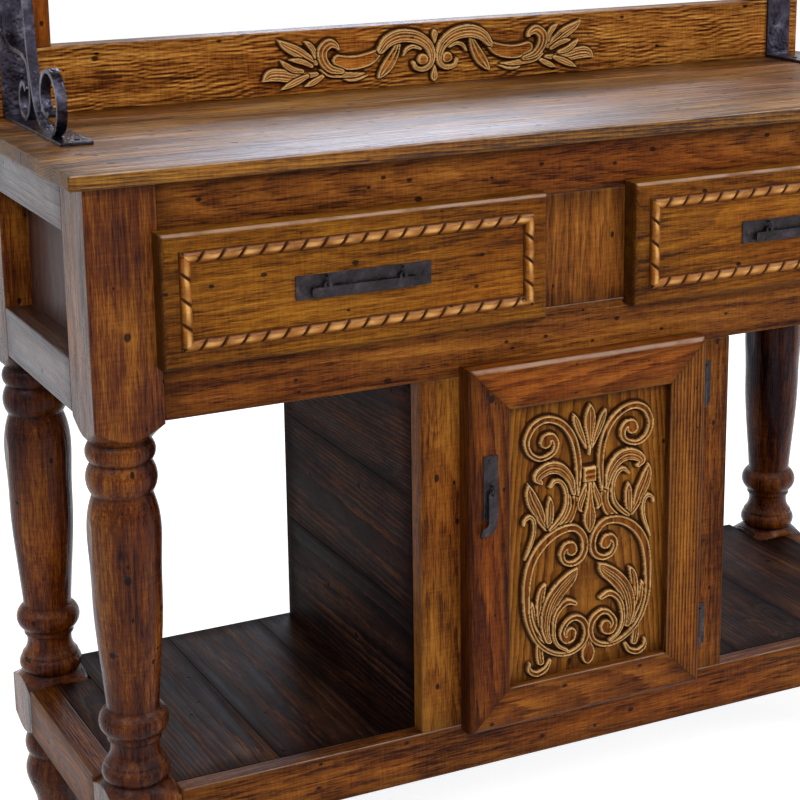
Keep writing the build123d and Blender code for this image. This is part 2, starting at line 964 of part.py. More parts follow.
leaf_half = hinge_leaf_thickness / 2
web_start = hinge_knuckle_radius * 0.8
fixed_hinge_solids = []
moving_hinge_solids = []
for middle in hinge_middles:
    with BuildPart() as fixed_leaf:
        add(
            board(
                hinge_x - leaf_half,
                hinge_x + hinge_leaf_width,
                front - hinge_leaf_thickness,
                front,
                middle - hinge_height / 2,
                middle + hinge_height / 2,
            ).part
        )
        for z in (middle - knuckle_pitch, middle + knuckle_pitch):
            add(knuckle(z).part)
            web = board(
                hinge_x - leaf_half,
                hinge_x + leaf_half,
                hinge_y + web_start,
                front,
                z - hinge_knuckle_height / 2,
                z + hinge_knuckle_height / 2,
            )
            add(web.part)
    with BuildPart() as pin:
        with BuildSketch(Plane.XY.offset(middle - hinge_height / 2)):
            with Locations((hinge_x, hinge_y)):
                Circle(hinge_pin_radius)
        extrude(amount=hinge_height)
    with BuildPart() as moving_leaf:
        add(
            board(
                door_half,
                door_half + hinge_leaf_thickness,
                door_face + door_edge_round,
                door_back,
                middle - hinge_height / 2,
                middle + hinge_height / 2,
            ).part
        )
        add(knuckle(middle).part)
        web = board(
            door_half,
            hinge_x - web_start,
            hinge_y - leaf_half,
            hinge_y + leaf_half,
            middle - hinge_knuckle_height / 2,
            middle + hinge_knuckle_height / 2,
        )
        add(web.part)
    fixed_hinge_solids += [fixed_leaf, pin]
    moving_hinge_solids.append(moving_leaf)
keep_group(fixed_hinge_solids, "door_hinges_fixed")
keep_group(moving_hinge_solids, "door_hinges_moving")

# ---- door pull ----------------------------------------------------------------------------
pull_x = -(door_half - door_frame_width / 2)
pull_plate_top = door_top - pull_plate_drop
pull_plate_face = door_face - plate_thickness
pull_eye_z = pull_plate_top - pull_eye_drop
pull_plate_middle = pull_plate_top - pull_plate_height / 2
pull_plate_solids = [
    plate(pull_x, pull_plate_middle, pull_plate_width, pull_plate_height, door_face),
    eye(pull_x, pull_eye_z, pull_plate_face),
    screw_head(pull_x, pull_plate_top - 2 * screw_radius, pull_plate_face),
]
keep_group(pull_plate_solids, "door_pull_plate")

with BuildPart() as door_pull:
    hole_z = pull_eye_z - eye_radius
    pull_back = pull_plate_face - eye_stand_off + pull_thickness / 2
    tail_radius = pull_width
    tail_top = hole_z - pull_length + 2 * tail_radius
    with BuildSketch(Plane.XZ.offset(-pull_back)):
        with Locations((pull_x, hole_z)):
            Circle(ear_radius)
        with Locations((pull_x, (hole_z + tail_top) / 2)):
            Rectangle(pull_width, hole_z - tail_top)
        with BuildLine() as tail:
            CenterArc((pull_x - tail_radius, tail_top), tail_radius, 0, -110)
        trace(tail.line, line_width=pull_width)
        with Locations((pull_x, hole_z)):
            Circle(eye_hole_radius, mode=Mode.SUBTRACT)
    extrude(amount=pull_thickness)
keep(door_pull, "door_pull")

# ---- drawers ------------------------------------------------------------------------------
front_half = (opening_outer - opening_inner) / 2 + drawer_overlay
front_low = lower_rail_top - drawer_overlay
front_high = upper_rail_bottom + drawer_overlay
front_back_face = front - drawer_front_gap
drawer_face = front_back_face - drawer_front_thickness
box_half = (opening_outer - opening_inner) / 2 - drawer_side_gap
box_rear = back_panel_front - drawer_rear_gap
box_inner_half = box_half - drawer_side_thickness
front_middle = (front_low + front_high) / 2
for side, sx in sides:
    centre = sx * opening_middle
    with BuildPart() as drawer_front:
        with BuildSketch(Plane.XZ.offset(-front_back_face)):
            with Locations((centre, front_middle)):
                Rectangle(2 * front_half, front_high - front_low)
        extrude(amount=drawer_front_thickness)
        fillet(drawer_front.faces().sort_by(Axis.Y)[0].edges(), radius=drawer_edge_round)
    keep(drawer_front, f"drawer_{side}_front")

    box_back = board(
        centre - box_inner_half,
        centre + box_inner_half,
        box_rear - drawer_side_thickness,
        box_rear,
        box_bottom,
        box_top,
    )
    box_boards = [box_back]
    for end in (-1, 1):
        box_side = board(
            centre + end * box_half,
            centre + end * box_inner_half,
            front_back_face,
            box_rear,
            box_bottom,
            box_top,
        )
        box_boards.append(box_side)
    keep_group(box_boards, f"drawer_{side}_box")

    drawer_bottom = board(
        centre - box_inner_half,
        centre + box_inner_half,
        front_back_face,
        box_rear - drawer_side_thickness,
        box_bottom + drawer_bottom_raise,
        box_bottom + drawer_bottom_raise + drawer_bottom_thickness,
    )
    keep(drawer_bottom, f"drawer_{side}_bottom")

    with BuildPart() as rope:
        rope_length = 2 * (front_half - rope_margin)
        rope_height = front_high - front_low - 2 * rope_margin
        with BuildSketch(Plane.XZ.offset(-drawer_face)):
            with Locations((centre, front_middle)):
                Rectangle(rope_length, rope_height)
                Rectangle(
                    rope_length - 2 * rope_width,
                    rope_height - 2 * rope_width,
                    mode=Mode.SUBTRACT,
                )
        extrude(amount=rope_relief)
        fillet(rope.faces().sort_by(Axis.Y)[0].edges(), radius=rope_relief * 0.75)
    keep(rope, f"drawer_{side}_rope_moulding")

    handle_face = drawer_face - plate_thickness
    eye_z = front_middle + handle_eye_rise
    eye_places = [centre + end * handle_eye_spacing / 2 for end in (-1, 1)]
    screw_reach = handle_plate_length / 2 - handle_screw_inset
    screw_places = [centre + end * screw_reach for end in (-1, 1)]
    handle_plate = [
        plate(centre, front_middle, handle_plate_length, handle_plate_height, drawer_face)
    ]
    handle_plate += [eye(x, eye_z, handle_face) for x in eye_places]
    handle_plate += [screw_head(x, front_middle, handle_face) for x in screw_places]
    keep_group(handle_plate, f"drawer_{side}_handle_plate")

    with BuildPart() as handle:
        hole_z = eye_z - eye_radius
        handle_top = hole_z - eye_hole_radius
        handle_back = handle_face - eye_stand_off + handle_thickness / 2
        with BuildSketch(Plane.XZ.offset(-handle_back)):
            with Locations((centre, handle_top - handle_height / 2)):
                RectangleRounded(handle_length, handle_height, 2 * softening)
            for x in eye_places:
                with Locations((x, hole_z)):
                    Circle(ear_radius)
            for x in eye_places:
                with Locations((x, hole_z)):
                    Circle(eye_hole_radius, mode=Mode.SUBTRACT)
        extrude(amount=handle_thickness)
    keep(handle, f"drawer_{side}_handle")
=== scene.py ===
import math
import random

import bpy
import numpy as np
from mathutils import Matrix, Vector


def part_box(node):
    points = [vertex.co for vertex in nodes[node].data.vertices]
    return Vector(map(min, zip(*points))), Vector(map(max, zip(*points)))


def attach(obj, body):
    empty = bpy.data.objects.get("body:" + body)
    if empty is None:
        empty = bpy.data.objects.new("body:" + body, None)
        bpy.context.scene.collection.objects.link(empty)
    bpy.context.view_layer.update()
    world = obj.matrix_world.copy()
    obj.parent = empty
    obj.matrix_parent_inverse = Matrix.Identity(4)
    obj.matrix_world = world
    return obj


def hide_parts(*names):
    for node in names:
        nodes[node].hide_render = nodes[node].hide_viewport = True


# Looks for the sideboard, in the frame of its solids. Metres, but reliefs are in millimetres.
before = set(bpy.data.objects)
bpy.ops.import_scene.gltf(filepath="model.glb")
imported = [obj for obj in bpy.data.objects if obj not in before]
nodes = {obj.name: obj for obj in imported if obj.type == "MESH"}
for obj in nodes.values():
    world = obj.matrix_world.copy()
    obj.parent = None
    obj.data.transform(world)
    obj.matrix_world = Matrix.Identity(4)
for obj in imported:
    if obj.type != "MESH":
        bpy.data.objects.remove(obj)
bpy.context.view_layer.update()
MM = 0.001
SEED = 11
rng = random.Random(SEED)
TURN = 2 * math.pi


# ---- numbers ------------------------------------------------------------------------------
def smoothstep(low, high, value):
    t = np.clip((value - low) / (high - low), 0.0, 1.0)
    return t * t * (3 - 2 * t)


def box_of(name):
    low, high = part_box(name)
    return np.array(low), np.array(high)


def through(points, count):
    """A smooth line through control rows, sampled evenly in the number of samples."""
    p = np.array(points, float)
    p = np.vstack([2 * p[0] - p[1], p, 2 * p[-1] - p[-2]])
    rows = []
    for i in range(1, len(p) - 2):
        t = np.linspace(0, 1, count, endpoint=False)[:, None]
        a, b, c, d = p[i - 1], p[i], p[i + 1], p[i + 2]
        square, cube = 2 * a - 5 * b + 4 * c - d, 3 * b - a - 3 * c + d
        rows.append(0.5 * (2 * b + (c - a) * t + square * t**2 + cube * t**3))
    rows.append(p[-2:-1])
    return np.vstack(rows)


def blurred(field, radius):
    """Three box blurs of a height field, close to a Gaussian."""
    r = max(1, int(round(radius)))
    for _ in range(3):
        for axis in (0, 1):
            sides = [(r + 1, r) if k == axis else (0, 0) for k in (0, 1)]
            padded = np.pad(field, sides, mode="edge")
            total = np.cumsum(padded, axis=axis)
            n = field.shape[axis]
            upper = np.take(total, np.arange(2 * r + 1, 2 * r + 1 + n), axis=axis)
            lower = np.take(total, np.arange(0, n), axis=axis)
            field = (upper - lower) / (2 * r + 1)
    return field


# ---- shader helpers -----------------------------------------------------------------------
class Shader:
    """Short names for the nodes of one material or world."""

    def __init__(self, owner, output="ShaderNodeOutputMaterial"):
        self.owner = bpy.data.materials.new(owner) if isinstance(owner, str) else owner
        self.owner.use_nodes = True
        self.tree = self.owner.node_tree
        self.tree.nodes.clear()
        self.out = self.tree.nodes.new(output).inputs["Surface"]

    def node(self, kind, **inputs):
        n = self.tree.nodes.new(kind)
        for key, value in inputs.items():
            setattr(n, key, value)
        return n

    def put(self, socket, value):
        if hasattr(value, "is_output"):
            self.tree.links.new(value, socket)
        elif value is not None:
            socket.default_value = value

    def math(self, operation, a, b=None, c=None):
        n = self.node("ShaderNodeMath", operation=operation)
        for socket, value in zip(n.inputs, (a, b, c)):
            self.put(socket, value)
        return n.outputs[0]

    def mul(self, first, *others):
        for other in others:
            first = self.math("MULTIPLY", first, other)
        return first

    def most(self, first, *others):
        for other in others:
            first = self.math("MAXIMUM", first, other)
        return first

    def least(self, first, *others):
        for other in others:
            first = self.math("MINIMUM", first, other)
        return first

    def mul_add(self, a, b, c):
        return self.math("MULTIPLY_ADD", a, b, c)

    def vector(self, operation, a, b=None):
        n = self.node("ShaderNodeVectorMath", operation=operation)
        self.put(n.inputs[0], a)
        self.put(n.inputs[1], b)
        return n.outputs["Value"] if operation in ("LENGTH", "DOT_PRODUCT") else n.outputs[0]

    def attribute(self, name):
        return self.node("ShaderNodeAttribute", attribute_name=name).outputs["Vector"]

    def split(self, vector):
        n = self.node("ShaderNodeSeparateXYZ")
        self.put(n.inputs[0], vector)
        return n.outputs

    def join(self, x, y, z):
        n = self.node("ShaderNodeCombineXYZ")
        for socket, value in zip(n.inputs, (x, y, z)):
            self.put(socket, value)
        return n.outputs[0]

    def noise(self, vector, scale=1.0, detail=2.0, rough=0.5):
        n = self.node("ShaderNodeTexNoise")
        self.put(n.inputs["Vector"], vector)
        n.inputs["Scale"].default_value = scale
        n.inputs["Detail"].default_value = detail
        n.inputs["Roughness"].default_value = rough
        return n.outputs["Fac"]

    def cells(self, place, per_metre, detail=2.0, rough=0.5):
        """Noise with its own number of cells per metre along each axis."""
        return self.noise(self.vector("MULTIPLY", place, per_metre), detail=detail, rough=rough)

    def voronoi(self, place, per_metre, flat=False):
        size = "2D" if flat else "3D"
        n = self.node("ShaderNodeTexVoronoi", feature="F1", voronoi_dimensions=size)
        self.put(n.inputs["Vector"], self.vector("MULTIPLY", place, per_metre))
        n.inputs["Scale"].default_value = 1.0
        return n.outputs["Distance"], self.split(n.outputs["Color"])

    def step(self, value, low, high, to_low=0.0, to_high=1.0, smooth=True):
        n = self.node("ShaderNodeMapRange", interpolation_type="SMOOTHSTEP" if smooth else "LINEAR")
        self.put(n.inputs["Value"], value)
        self.put(n.inputs["From Min"], low)
        self.put(n.inputs["From Max"], high)
        self.put(n.inputs["To Min"], to_low)
        self.put(n.inputs["To Max"], to_high)
        return n.outputs["Result"]

    def mix(self, factor, a, b, blend="MIX"):
        n = self.node("ShaderNodeMix", data_type="RGBA", blend_type=blend)
        self.put(n.inputs["Factor"], factor)
        for socket, value in ((n.inputs[6], a), (n.inputs[7], b)):
            self.put(socket, (*value, 1) if isinstance(value, tuple) else value)
        return n.outputs[2]

    def ramp(self, value, stops):
        n = self.node("ShaderNodeValToRGB")
        self.put(n.inputs[0], value)
        elements = n.color_ramp.elements
        while len(elements) < len(stops):
            elements.new(0.5)
        for element, (place, colour) in zip(elements, stops):
            element.position = place
            element.color = (*colour, 1)
        return n.outputs[0]

    def bump(self, height, distance, normal):
        n = self.node("ShaderNodeBump")
        n.inputs["Strength"].default_value = 1.0
        n.inputs["Distance"].default_value = distance
        self.put(n.inputs["Height"], height)
        self.put(n.inputs["Normal"], normal)
        return n.outputs[0]

    def surface(self, **inputs):
        n = self.node("ShaderNodeBsdfPrincipled")
        for key, value in inputs.items():
            self.put(n.inputs[key.replace("_", " ")], value)
        self.put(self.out, n.outputs[0])
        return self.owner


def rgb(*values):
    """Display colour, 0 to 255, to the linear values that sockets take."""
    return tuple(((v / 255 + 0.055) / 1.055) ** 2.4 if v > 10 else v / 255 / 12.92 for v in values)


# Noise cells per metre: along the grain, then both ways across it.
FINE = (16.0, 260.0, 260.0)
PORES = (48.0, 900.0, 900.0)
STREAK = (3.0, 70.0, 70.0)
PATCH = (3.6, 12.0, 12.0)
CLOUD = (1.7, 5.0, 5.0)
CHATTER = (330.0, 38.0, 38.0)
SWAY = (1.0, 4.0, 4.0)
RAGGED = (24.0, 60.0, 60.0)
SCRATCH = (4.5, 150.0, 150.0)
DENTS = (5.0, 14.0, 14.0)
KNOTS = (3.4, 11.0, 11.0)
MOST_KNOTS = 0.34  # share of the cells with a knot where knots is 1
KNOT_SIZES = (0.05, 0.12)  # least and greatest, in cells
# Worm and peg holes: cells per metre over a face, least and greatest size in cells, share of cells.
HOLES = (((17.0, 26.0, 1.0), 0.02, 0.07, 0.5), ((7.0, 10.0, 1.0), 0.018, 0.038, 0.8))
HOLE_MARGIN = (0.004, 0.007)  # holes fade out this near to a board's edge
RING_SWAY = 0.012  # metres that growth rings wander
KNOT_SWIRL = 0.012  # metres that they are pushed round a knot
JOINT_LINE = (0.0004, 0.0017)  # metres of dark line in a joint
ARRIS = 0.0035  # radius that corners seem to have
BRUSHED_DEPTH = 0.0014
DENT_DEPTH = 0.006
DEEP = 0.30  # share of the dark tone left in cracks
RUDDY = (0.95, 0.78, 0.72)
# rubbed corners, and the painted highlight on those that face up
RUBBED_AND_LIT = rgb(206, 178, 156)
# pale scuffs, and the painted sheen on tops
SCUFF_AND_SHEEN_TONE = rgb(206, 190, 188)
BORED = rgb(20, 11, 10)


def knot_cells(s, place, share):
    """Whether a cell holds a knot, and the distance from its middle in knot sizes."""
    distance, tone = s.voronoi(place, KNOTS)
    rarest = 1.0 - MOST_KNOTS * share
    size = s.step(tone[0], rarest, 1.0, *KNOT_SIZES)
    return s.math("GREATER_THAN", tone[0], rarest), s.math("DIVIDE", distance, size)


def late_wood(s, grain, place, fine, swirl, pitch):
    """The dark part of the growth rings round the log's axis, 0 to 1."""
    gx, gy, gz = s.split(grain)
    px, py, lean = s.split(s.attribute("pith"))
    sway = s.mul_add(s.cells(place, SWAY, detail=1.0), RING_SWAY, -RING_SWAY / 2)
    ry = s.math("ADD", s.math("SUBTRACT", gy, px), sway)
    rz = s.math("ADD", s.math("SUBTRACT", gz, py), s.mul(gx, lean))
    radius = s.mul_add(swirl, KNOT_SWIRL, s.vector("LENGTH", s.join(ry, rz, 0.0)))
    turns = s.mul_add(fine, 0.7, s.math("DIVIDE", radius, pitch))
    phase = s.math("FRACT", turns)
    return s.mul(s.step(phase, 0.2, 0.88, smooth=False), s.step(phase, 0.90, 1.0, 1.0, 0.0))


def bored_holes(s, grain, seed, near, thin_z, turned, ragged, share):
    """Small peg, worm and nail holes over each board's broad faces."""
    gx, gy, gz = s.split(grain)
    ny, nz = s.split(near)[1:]
    sx, sy = s.split(seed)[:2]
    across = s.mul_add(s.math("SUBTRACT", gy, gz), thin_z, gz)
    spot = s.join(s.math("ADD", gx, sx), s.math("ADD", across, sy), 0.0)
    side_gap = s.mul_add(s.math("SUBTRACT", ny, nz), thin_z, nz)
    found = []
    for per_metre, low, high, chance in HOLES:
        distance, tone = s.voronoi(spot, per_metre, flat=True)
        ratio = s.math("DIVIDE", distance, s.step(tone[1], 0.0, 1.0, low, high))
        ratio = s.mul(ratio, s.mul_add(ragged, 1.2, 0.4))
        chosen = s.math("LESS_THAN", tone[0], chance * share)
        found.append(s.mul(s.step(ratio, 0.7, 1.25, 1.0, 0.0), chosen))
    return s.mul(s.most(*found), s.most(s.step(side_gap, *HOLE_MARGIN), turned))


def wood(
    name,
    dark,
    middle,
    light,
    ring=0.12,
    ring_pitch=0.0042,
    fibre=0.5,
    blotch=0.5,
    knots=0.6,
    holes=0.5,
    glaze_and_shade=0.6,
    rough=0.42,
    shine=0.06,
    brushed=0.35,
    wear_and_highlight=0.6,
    scuff_and_sheen=0.0,
    groove=0.016,
    sheen=(1.0, 1.0, 1.0),
    dark_x_faces=0.0,
    carved=False,
    tan=None,
    body=(0.84, 0.60, 0.48),
):
    """Stained softwood cut from a log whose axis lies beside each board.

    ring, fibre and blotch set the contrast of growth rings, fine grain and patches, knots and
    holes how common they are, glaze_and_shade the dark glazing in joints and at ends and the
    painted shade near joints and corners, groove how far the painted shade in hollows reaches,
    wear_and_highlight the rubbed corners and upper shoulders with a painted highlight where they
    face up, scuff_and_sheen the pale scuffs and painted sheen on tops, dark_x_faces how much darker
    the faces turned along x are, and sheen tints the gloss. Carved wood has tan crests painted as
    highlights and hollows darkened as painted shade, and body tints what is raised.
    """
    s = Shader(name)
    deep = tuple(DEEP * c for c in dark)
    grain, board, seed = (s.attribute(key) for key in ("grain", "board", "seed"))
    board_tone, ripple, turned = s.split(s.attribute("tone"))
    mitre_x, mitre_z, thin_z = s.split(s.attribute("mitre"))
    place = s.vector("ADD", grain, seed)
    fine = s.cells(place, FINE, detail=3.0, rough=0.6)
    pores = s.cells(place, PORES, rough=0.6)
    streak = s.cells(place, STREAK, detail=3.0, rough=0.55)
    patch = s.cells(place, PATCH, detail=4.0, rough=0.55)
    cloud = s.cells(place, CLOUD)
    chatter = s.cells(place, CHATTER, detail=1.0)
    ragged = s.cells(place, RAGGED, detail=3.0)

    # grain, rings and knots
    is_knot, knot_far = knot_cells(s, place, knots)
    swirl = s.mul(s.step(knot_far, 0.5, 4.5, 1.0, 0.0), is_knot)
    late = late_wood(s, grain, place, fine, swirl, ring_pitch)
    tone = s.mul_add(late, -ring, 0.5 + ring * 0.4)
    for field, share in ((fine, 1.25), (pores, 1.5), (streak, 1.0), (chatter, 0.3)):
        tone = s.mul_add(s.math("SUBTRACT", field, 0.5), fibre * share, tone)
    tone = s.mul_add(s.math("SUBTRACT", patch, 0.5), blotch * 1.2, tone)
    tone = s.math("ADD", tone, board_tone)
    # ridges of the brushed ripple paler and its troughs darker: a painted highlight and shade
    tone = s.mul_add(ripple, 0.2, tone)
    colour = s.ramp(tone, ((0.02, deep), (0.26, dark), (0.54, middle), (0.9, light)))
    ruddy = s.mix(1.0, colour, RUDDY, blend="MULTIPLY")
    colour = s.mix(s.step(cloud, 0.46, 0.66), colour, ruddy)
    specks = s.mul(s.step(pores, 0.56, 0.68), s.step(fine, 0.40, 0.58))
    colour = s.mix(s.mul(specks, 0.7 * min(1.0, 2 * fibre)), colour, deep)
    colour = s.mix(s.mul(s.step(knot_far, 0.5, 1.1, 1.0, 0.0), is_knot, 0.8), colour, deep)
    ring_round = s.mul(s.step(knot_far, 0.9, 1.3), s.step(knot_far, 1.3, 2.4, 1.0, 0.0))
    colour = s.mix(s.mul(ring_round, is_knot, 0.35), colour, dark)

    # darker glazing along each board's joints and ends, and painted shade near its joints and
    # corners, from its own box; painted shade in hollows, from occlusion
    near = s.vector("MINIMUM", grain, s.vector("SUBTRACT", board, grain))
    nx, ny, nz = s.split(near)
    edge = s.most(s.least(nx, ny), s.least(s.most(nx, ny), nz), turned)
    mitre_near = s.least(mitre_x, mitre_z)
    joint = s.least(edge, mitre_near)
    line = s.step(joint, *JOINT_LINE, 0.85, 0.0)
    # darker towards each board's joints and corners: glazing, and painted shade where parts meet
    reach = s.mul_add(patch, 0.05, -0.004)
    shade = s.step(s.math("DIVIDE", joint, reach), 0.0, 1.0, 0.62, 0.0)
    end_reach = s.mul_add(ragged, 0.10, -0.005)
    end = s.step(s.math("DIVIDE", s.most(nx, turned), end_reach), 0.0, 1.0, 0.75, 0.0)
    # occlusion within the piece darkens its creases and hollows: painted shade
    hollow = s.node("ShaderNodeAmbientOcclusion", samples=4, only_local=True)
    hollow.inputs["Distance"].default_value = groove
    crease_shade = s.step(hollow.outputs["AO"], 0.50, 0.97, 0.95 if not carved else 0.5, 0.0)
    glazing_and_shade = s.most(s.mul(s.most(shade, end, line), glaze_and_shade), crease_shade)
    flat = s.node("ShaderNodeNewGeometry").outputs["Normal"]
    flat_x, _, flat_rise = s.split(flat)
    # faces turned along x in the world are made darker, by dark_x_faces
    if dark_x_faces:
        glazing_and_shade = s.most(glazing_and_shade, s.step(s.math("ABSOLUTE", flat_x), 0.35, 0.85, 0.0, dark_x_faces))
    colour = s.mix(glazing_and_shade, colour, deep)

    # arrises and upper shoulders rubbed paler, and paler still where they face up, a painted
    # highlight
    rounded = s.node("ShaderNodeBevel", samples=4)
    rounded.inputs["Radius"].default_value = ARRIS
    rounded = rounded.outputs[0]
    rise = s.split(rounded)[2]
    corner = s.step(s.vector("DOT_PRODUCT", flat, rounded), 0.80, 0.985, 1.0, 0.0)
    # corners and shoulders that face up are made paler: rubbing, and a painted highlight
    corner = s.mul(corner, s.step(rise, 0.0, 0.6, 0.25, 1.0))
    shoulder_wear_and_highlight = s.mul(s.step(flat_rise, 0.25, 0.6), s.step(flat_rise, 0.82, 0.97, 0.6, 0.0))
    open_air = s.step(hollow.outputs["AO"], 0.75, 0.98)
    worn_and_lit = s.mul(s.most(corner, shoulder_wear_and_highlight), s.step(ragged, 0.25, 0.62, 0.35, 1.0), open_air, wear_and_highlight)
    worn_and_lit = s.mul(worn_and_lit, s.step(mitre_near, 0.001, 0.004), s.step(nx, 0.001, 0.005, 0.15, 1.0))
    colour = s.mix(worn_and_lit, colour, RUBBED_AND_LIT)
    if scuff_and_sheen:
        # pale streaks on upward faces: scuffs, and a painted sheen
        scratch = s.cells(place, SCRATCH, detail=3.0, rough=0.65)
        pale = s.mul(s.step(scratch, 0.50, 0.60), s.step(patch, 0.38, 0.62, 0.12, 1.0))
        colour = s.mix(s.mul(pale, s.step(flat_rise, 0.5, 0.95), scuff_and_sheen), colour, SCUFF_AND_SHEEN_TONE)
        score = s.mul(s.step(scratch, 0.36, 0.43, 1.0, 0.0), s.step(cloud, 0.42, 0.6, 0.2, 1.0))
        colour = s.mix(s.mul(score, 0.55), colour, deep)
    hole = bored_holes(s, grain, seed, near, thin_z, turned, ragged, holes)
    colour = s.mix(s.mul(hole, 0.88), colour, BORED)

    # brushed grain, holes and slow dents
    height = s.mul(s.math("SUBTRACT", fine, s.mul(late, 0.25)), brushed)
    height = s.mul_add(pores, brushed * 0.5, height)
    height = s.mul_add(hole, -1.6, height)
    height = s.mul_add(ragged, 0.5, height)
    normal = s.bump(height, BRUSHED_DEPTH, rounded)
    normal = s.bump(s.cells(place, DENTS), DENT_DEPTH, normal)
    gloss = s.mul_add(streak, 0.3, rough - 0.15)
    gloss = s.mul_add(glazing_and_shade, 0.2, gloss)
    if carved:
        crest_highlight, cavity_shade, lift = s.split(s.attribute("carve"))
        # the carving's crests are painted tan, a painted highlight
        soft = s.mul(crest_highlight, s.step(ragged, 0.2, 0.55, 0.55, 1.0))
        soft = s.mul(soft, s.step(pores, 0.36, 0.62, 1.0, 0.72))
        raised = s.mix(1.0, colour, body, blend="MULTIPLY")
        colour = s.mix(s.mul(lift, 0.8), colour, raised)
        colour = s.mix(soft, colour, tan)
        # the carving's hollows are darkened, a painted shade
        colour = s.mix(s.mul(cavity_shade, 0.95), colour, deep)
    return s.surface(
        Base_Color=colour,
        Roughness=gloss,
        Normal=normal,
        Specular_IOR_Level=shine,
        Specular_Tint=(*sheen, 1),
    )


HAMMER_MARKS = 190.0  # per metre
HAMMER_DEPTH = 0.0013


def iron(name, dark, middle, light, metal, rough_low, corner):
    """Hammered iron, with its corners shaded as if they were rounded."""
    s = Shader(name)
    place = s.node("ShaderNodeTexCoord").outputs["Object"]
    cell = s.node("ShaderNodeTexVoronoi", feature="SMOOTH_F1")
    s.put(cell.inputs["Vector"], place)
    cell.inputs["Scale"].default_value = HAMMER_MARKS
    rough = s.noise(place, 300.0, 4.0, 0.6)
    patch = s.noise(place, 45.0, 3.0)
    height = s.mul_add(rough, 0.5, cell.outputs["Distance"])
    colour = s.ramp(patch, ((0.3, dark), (0.55, middle), (0.75, light)))
    colour = s.mix(s.step(rough, 0.5, 0.72, 0.0, 0.5), colour, tuple(0.5 * c for c in dark))
    rounded = s.node("ShaderNodeBevel", samples=4)
    rounded.inputs["Radius"].default_value = corner
    return s.surface(
        Base_Color=colour,
        Metallic=metal,
        Roughness=s.mul_add(patch, 0.25, rough_low),
        Normal=s.bump(height, HAMMER_DEPTH, rounded.outputs[0]),
    )


# ---- which way each board's grain runs ----------------------------------------------------
ORDER = {"x": (0, 2, 1), "y": (1, 0, 2), "z": (2, 0, 1)}  # along the grain, then across it
SEED_REACH = 40.0
LOG_MIDDLE = (0.1, 0.9)  # where the log's axis lies across a board, as a share of its width
AWAY_FROM_BOARD = (0.06, 0.20)
AWAY_FROM_LEG = (0.10, 0.22)
MOST_LEAN = 0.05
FAR_LOG, FAR_LEAN = -0.45, 0.002  # gives straight grain
UNEVEN_TONE = 0.05
SQUARE_TO_MITRE = 0.7
# Door frame boards, and whether their outer edge is their low side.
MITRED = {
    "door_stile_left": True,
    "door_stile_right": False,
    "door_top_rail": False,
    "door_bottom_rail": True,
}


def solids_of(mesh):
    """The separate solids of a node, as a label for each vertex."""
    co = np.empty(len(mesh.vertices) * 3)
    mesh.vertices.foreach_get("co", co)
    co = co.reshape(-1, 3)
    _, spot = np.unique(np.round(co, 5), axis=0, return_inverse=True)
    spot = spot.ravel()
    parent = np.arange(spot.max() + 1)
    edges = np.empty(len(mesh.edges) * 2, int)
    mesh.edges.foreach_get("vertices", edges)
    pairs = spot[edges.reshape(-1, 2)]
    while True:
        low = np.minimum(parent[pairs[:, 0]], parent[pairs[:, 1]])
        before = parent.copy()
        np.minimum.at(parent, pairs[:, 0], low)
        np.minimum.at(parent, pairs[:, 1], low)
        parent = parent[parent]
        if np.array_equal(before, parent):
            break
    return co, parent[spot]


def put_vectors(mesh, name, values):
    layer = mesh.attributes.get(name) or mesh.attributes.new(name, "FLOAT_VECTOR", "POINT")
    layer.data.foreach_set("vector", np.ascontiguousarray(values, np.float32).ravel())


def lay_grain(obj, axis, tone, turned, ripple, straight):
    """Grain, board size, seed, log axis and tone for each solid of a piece of wood."""
    mesh = obj.data
    co, label = solids_of(mesh)
    order = ORDER[axis]
    grain, board, seed, pith, tones = (np.zeros((len(co), 3)) for _ in range(5))
    mitre = np.ones((len(co), 3))
    for solid in np.unique(label):
        mine = label == solid
        low, high = co[mine].min(0), co[mine].max(0)
        size = (high - low)[list(order)]
        grain[mine] = (co[mine] - low)[:, order]
        board[mine] = size
        seed[mine] = [rng.uniform(0, SEED_REACH) for _ in range(3)]
        thin = 2 if size[2] <= size[1] else 1
        centre = [size[1] * rng.uniform(*LOG_MIDDLE), size[2] * rng.uniform(*LOG_MIDDLE)]
        away = rng.uniform(*(AWAY_FROM_LEG if turned else AWAY_FROM_BOARD))
        centre[thin - 1] = -away if rng.random() < 0.5 else size[thin] + away
        lean = rng.uniform(-MOST_LEAN, MOST_LEAN)
        if straight:
            centre, lean = [FAR_LOG, size[2] * 0.5], FAR_LEAN
        pith[mine] = (centre[0], centre[1], lean)
        mitre[mine, 2] = thin - 1
        tones[mine] = tone + rng.uniform(-UNEVEN_TONE, UNEVEN_TONE)
    tones[:, 1] = 0.0 if ripple is None else ripple
    tones[:, 2] = 1.0 if turned else 0.0
    if obj.name in MITRED:
        along, across = (0, 2) if axis == "x" else (2, 0)
        low, high = co.min(0), co.max(0)
        inner_first = MITRED[obj.name]
        depth = co[:, across] - low[across] if inner_first else high[across] - co[:, across]
        mitre[:, 0] = np.abs(co[:, along] - low[along] - depth) * SQUARE_TO_MITRE
        mitre[:, 1] = np.abs(high[along] - co[:, along] - depth) * SQUARE_TO_MITRE
    put_vectors(mesh, "grain", grain)
    put_vectors(mesh, "board", board)
    put_vectors(mesh, "seed", seed)
    put_vectors(mesh, "pith", pith)
    put_vectors(mesh, "tone", tones)
    put_vectors(mesh, "mitre", mitre)


def finish_board(obj, material, axis, tone=0.0, turned=False, ripple=None):
    lay_grain(obj, axis, tone, turned, ripple, straight=material is stile_pine)
    obj.data.materials.clear()
    obj.data.materials.append(material)


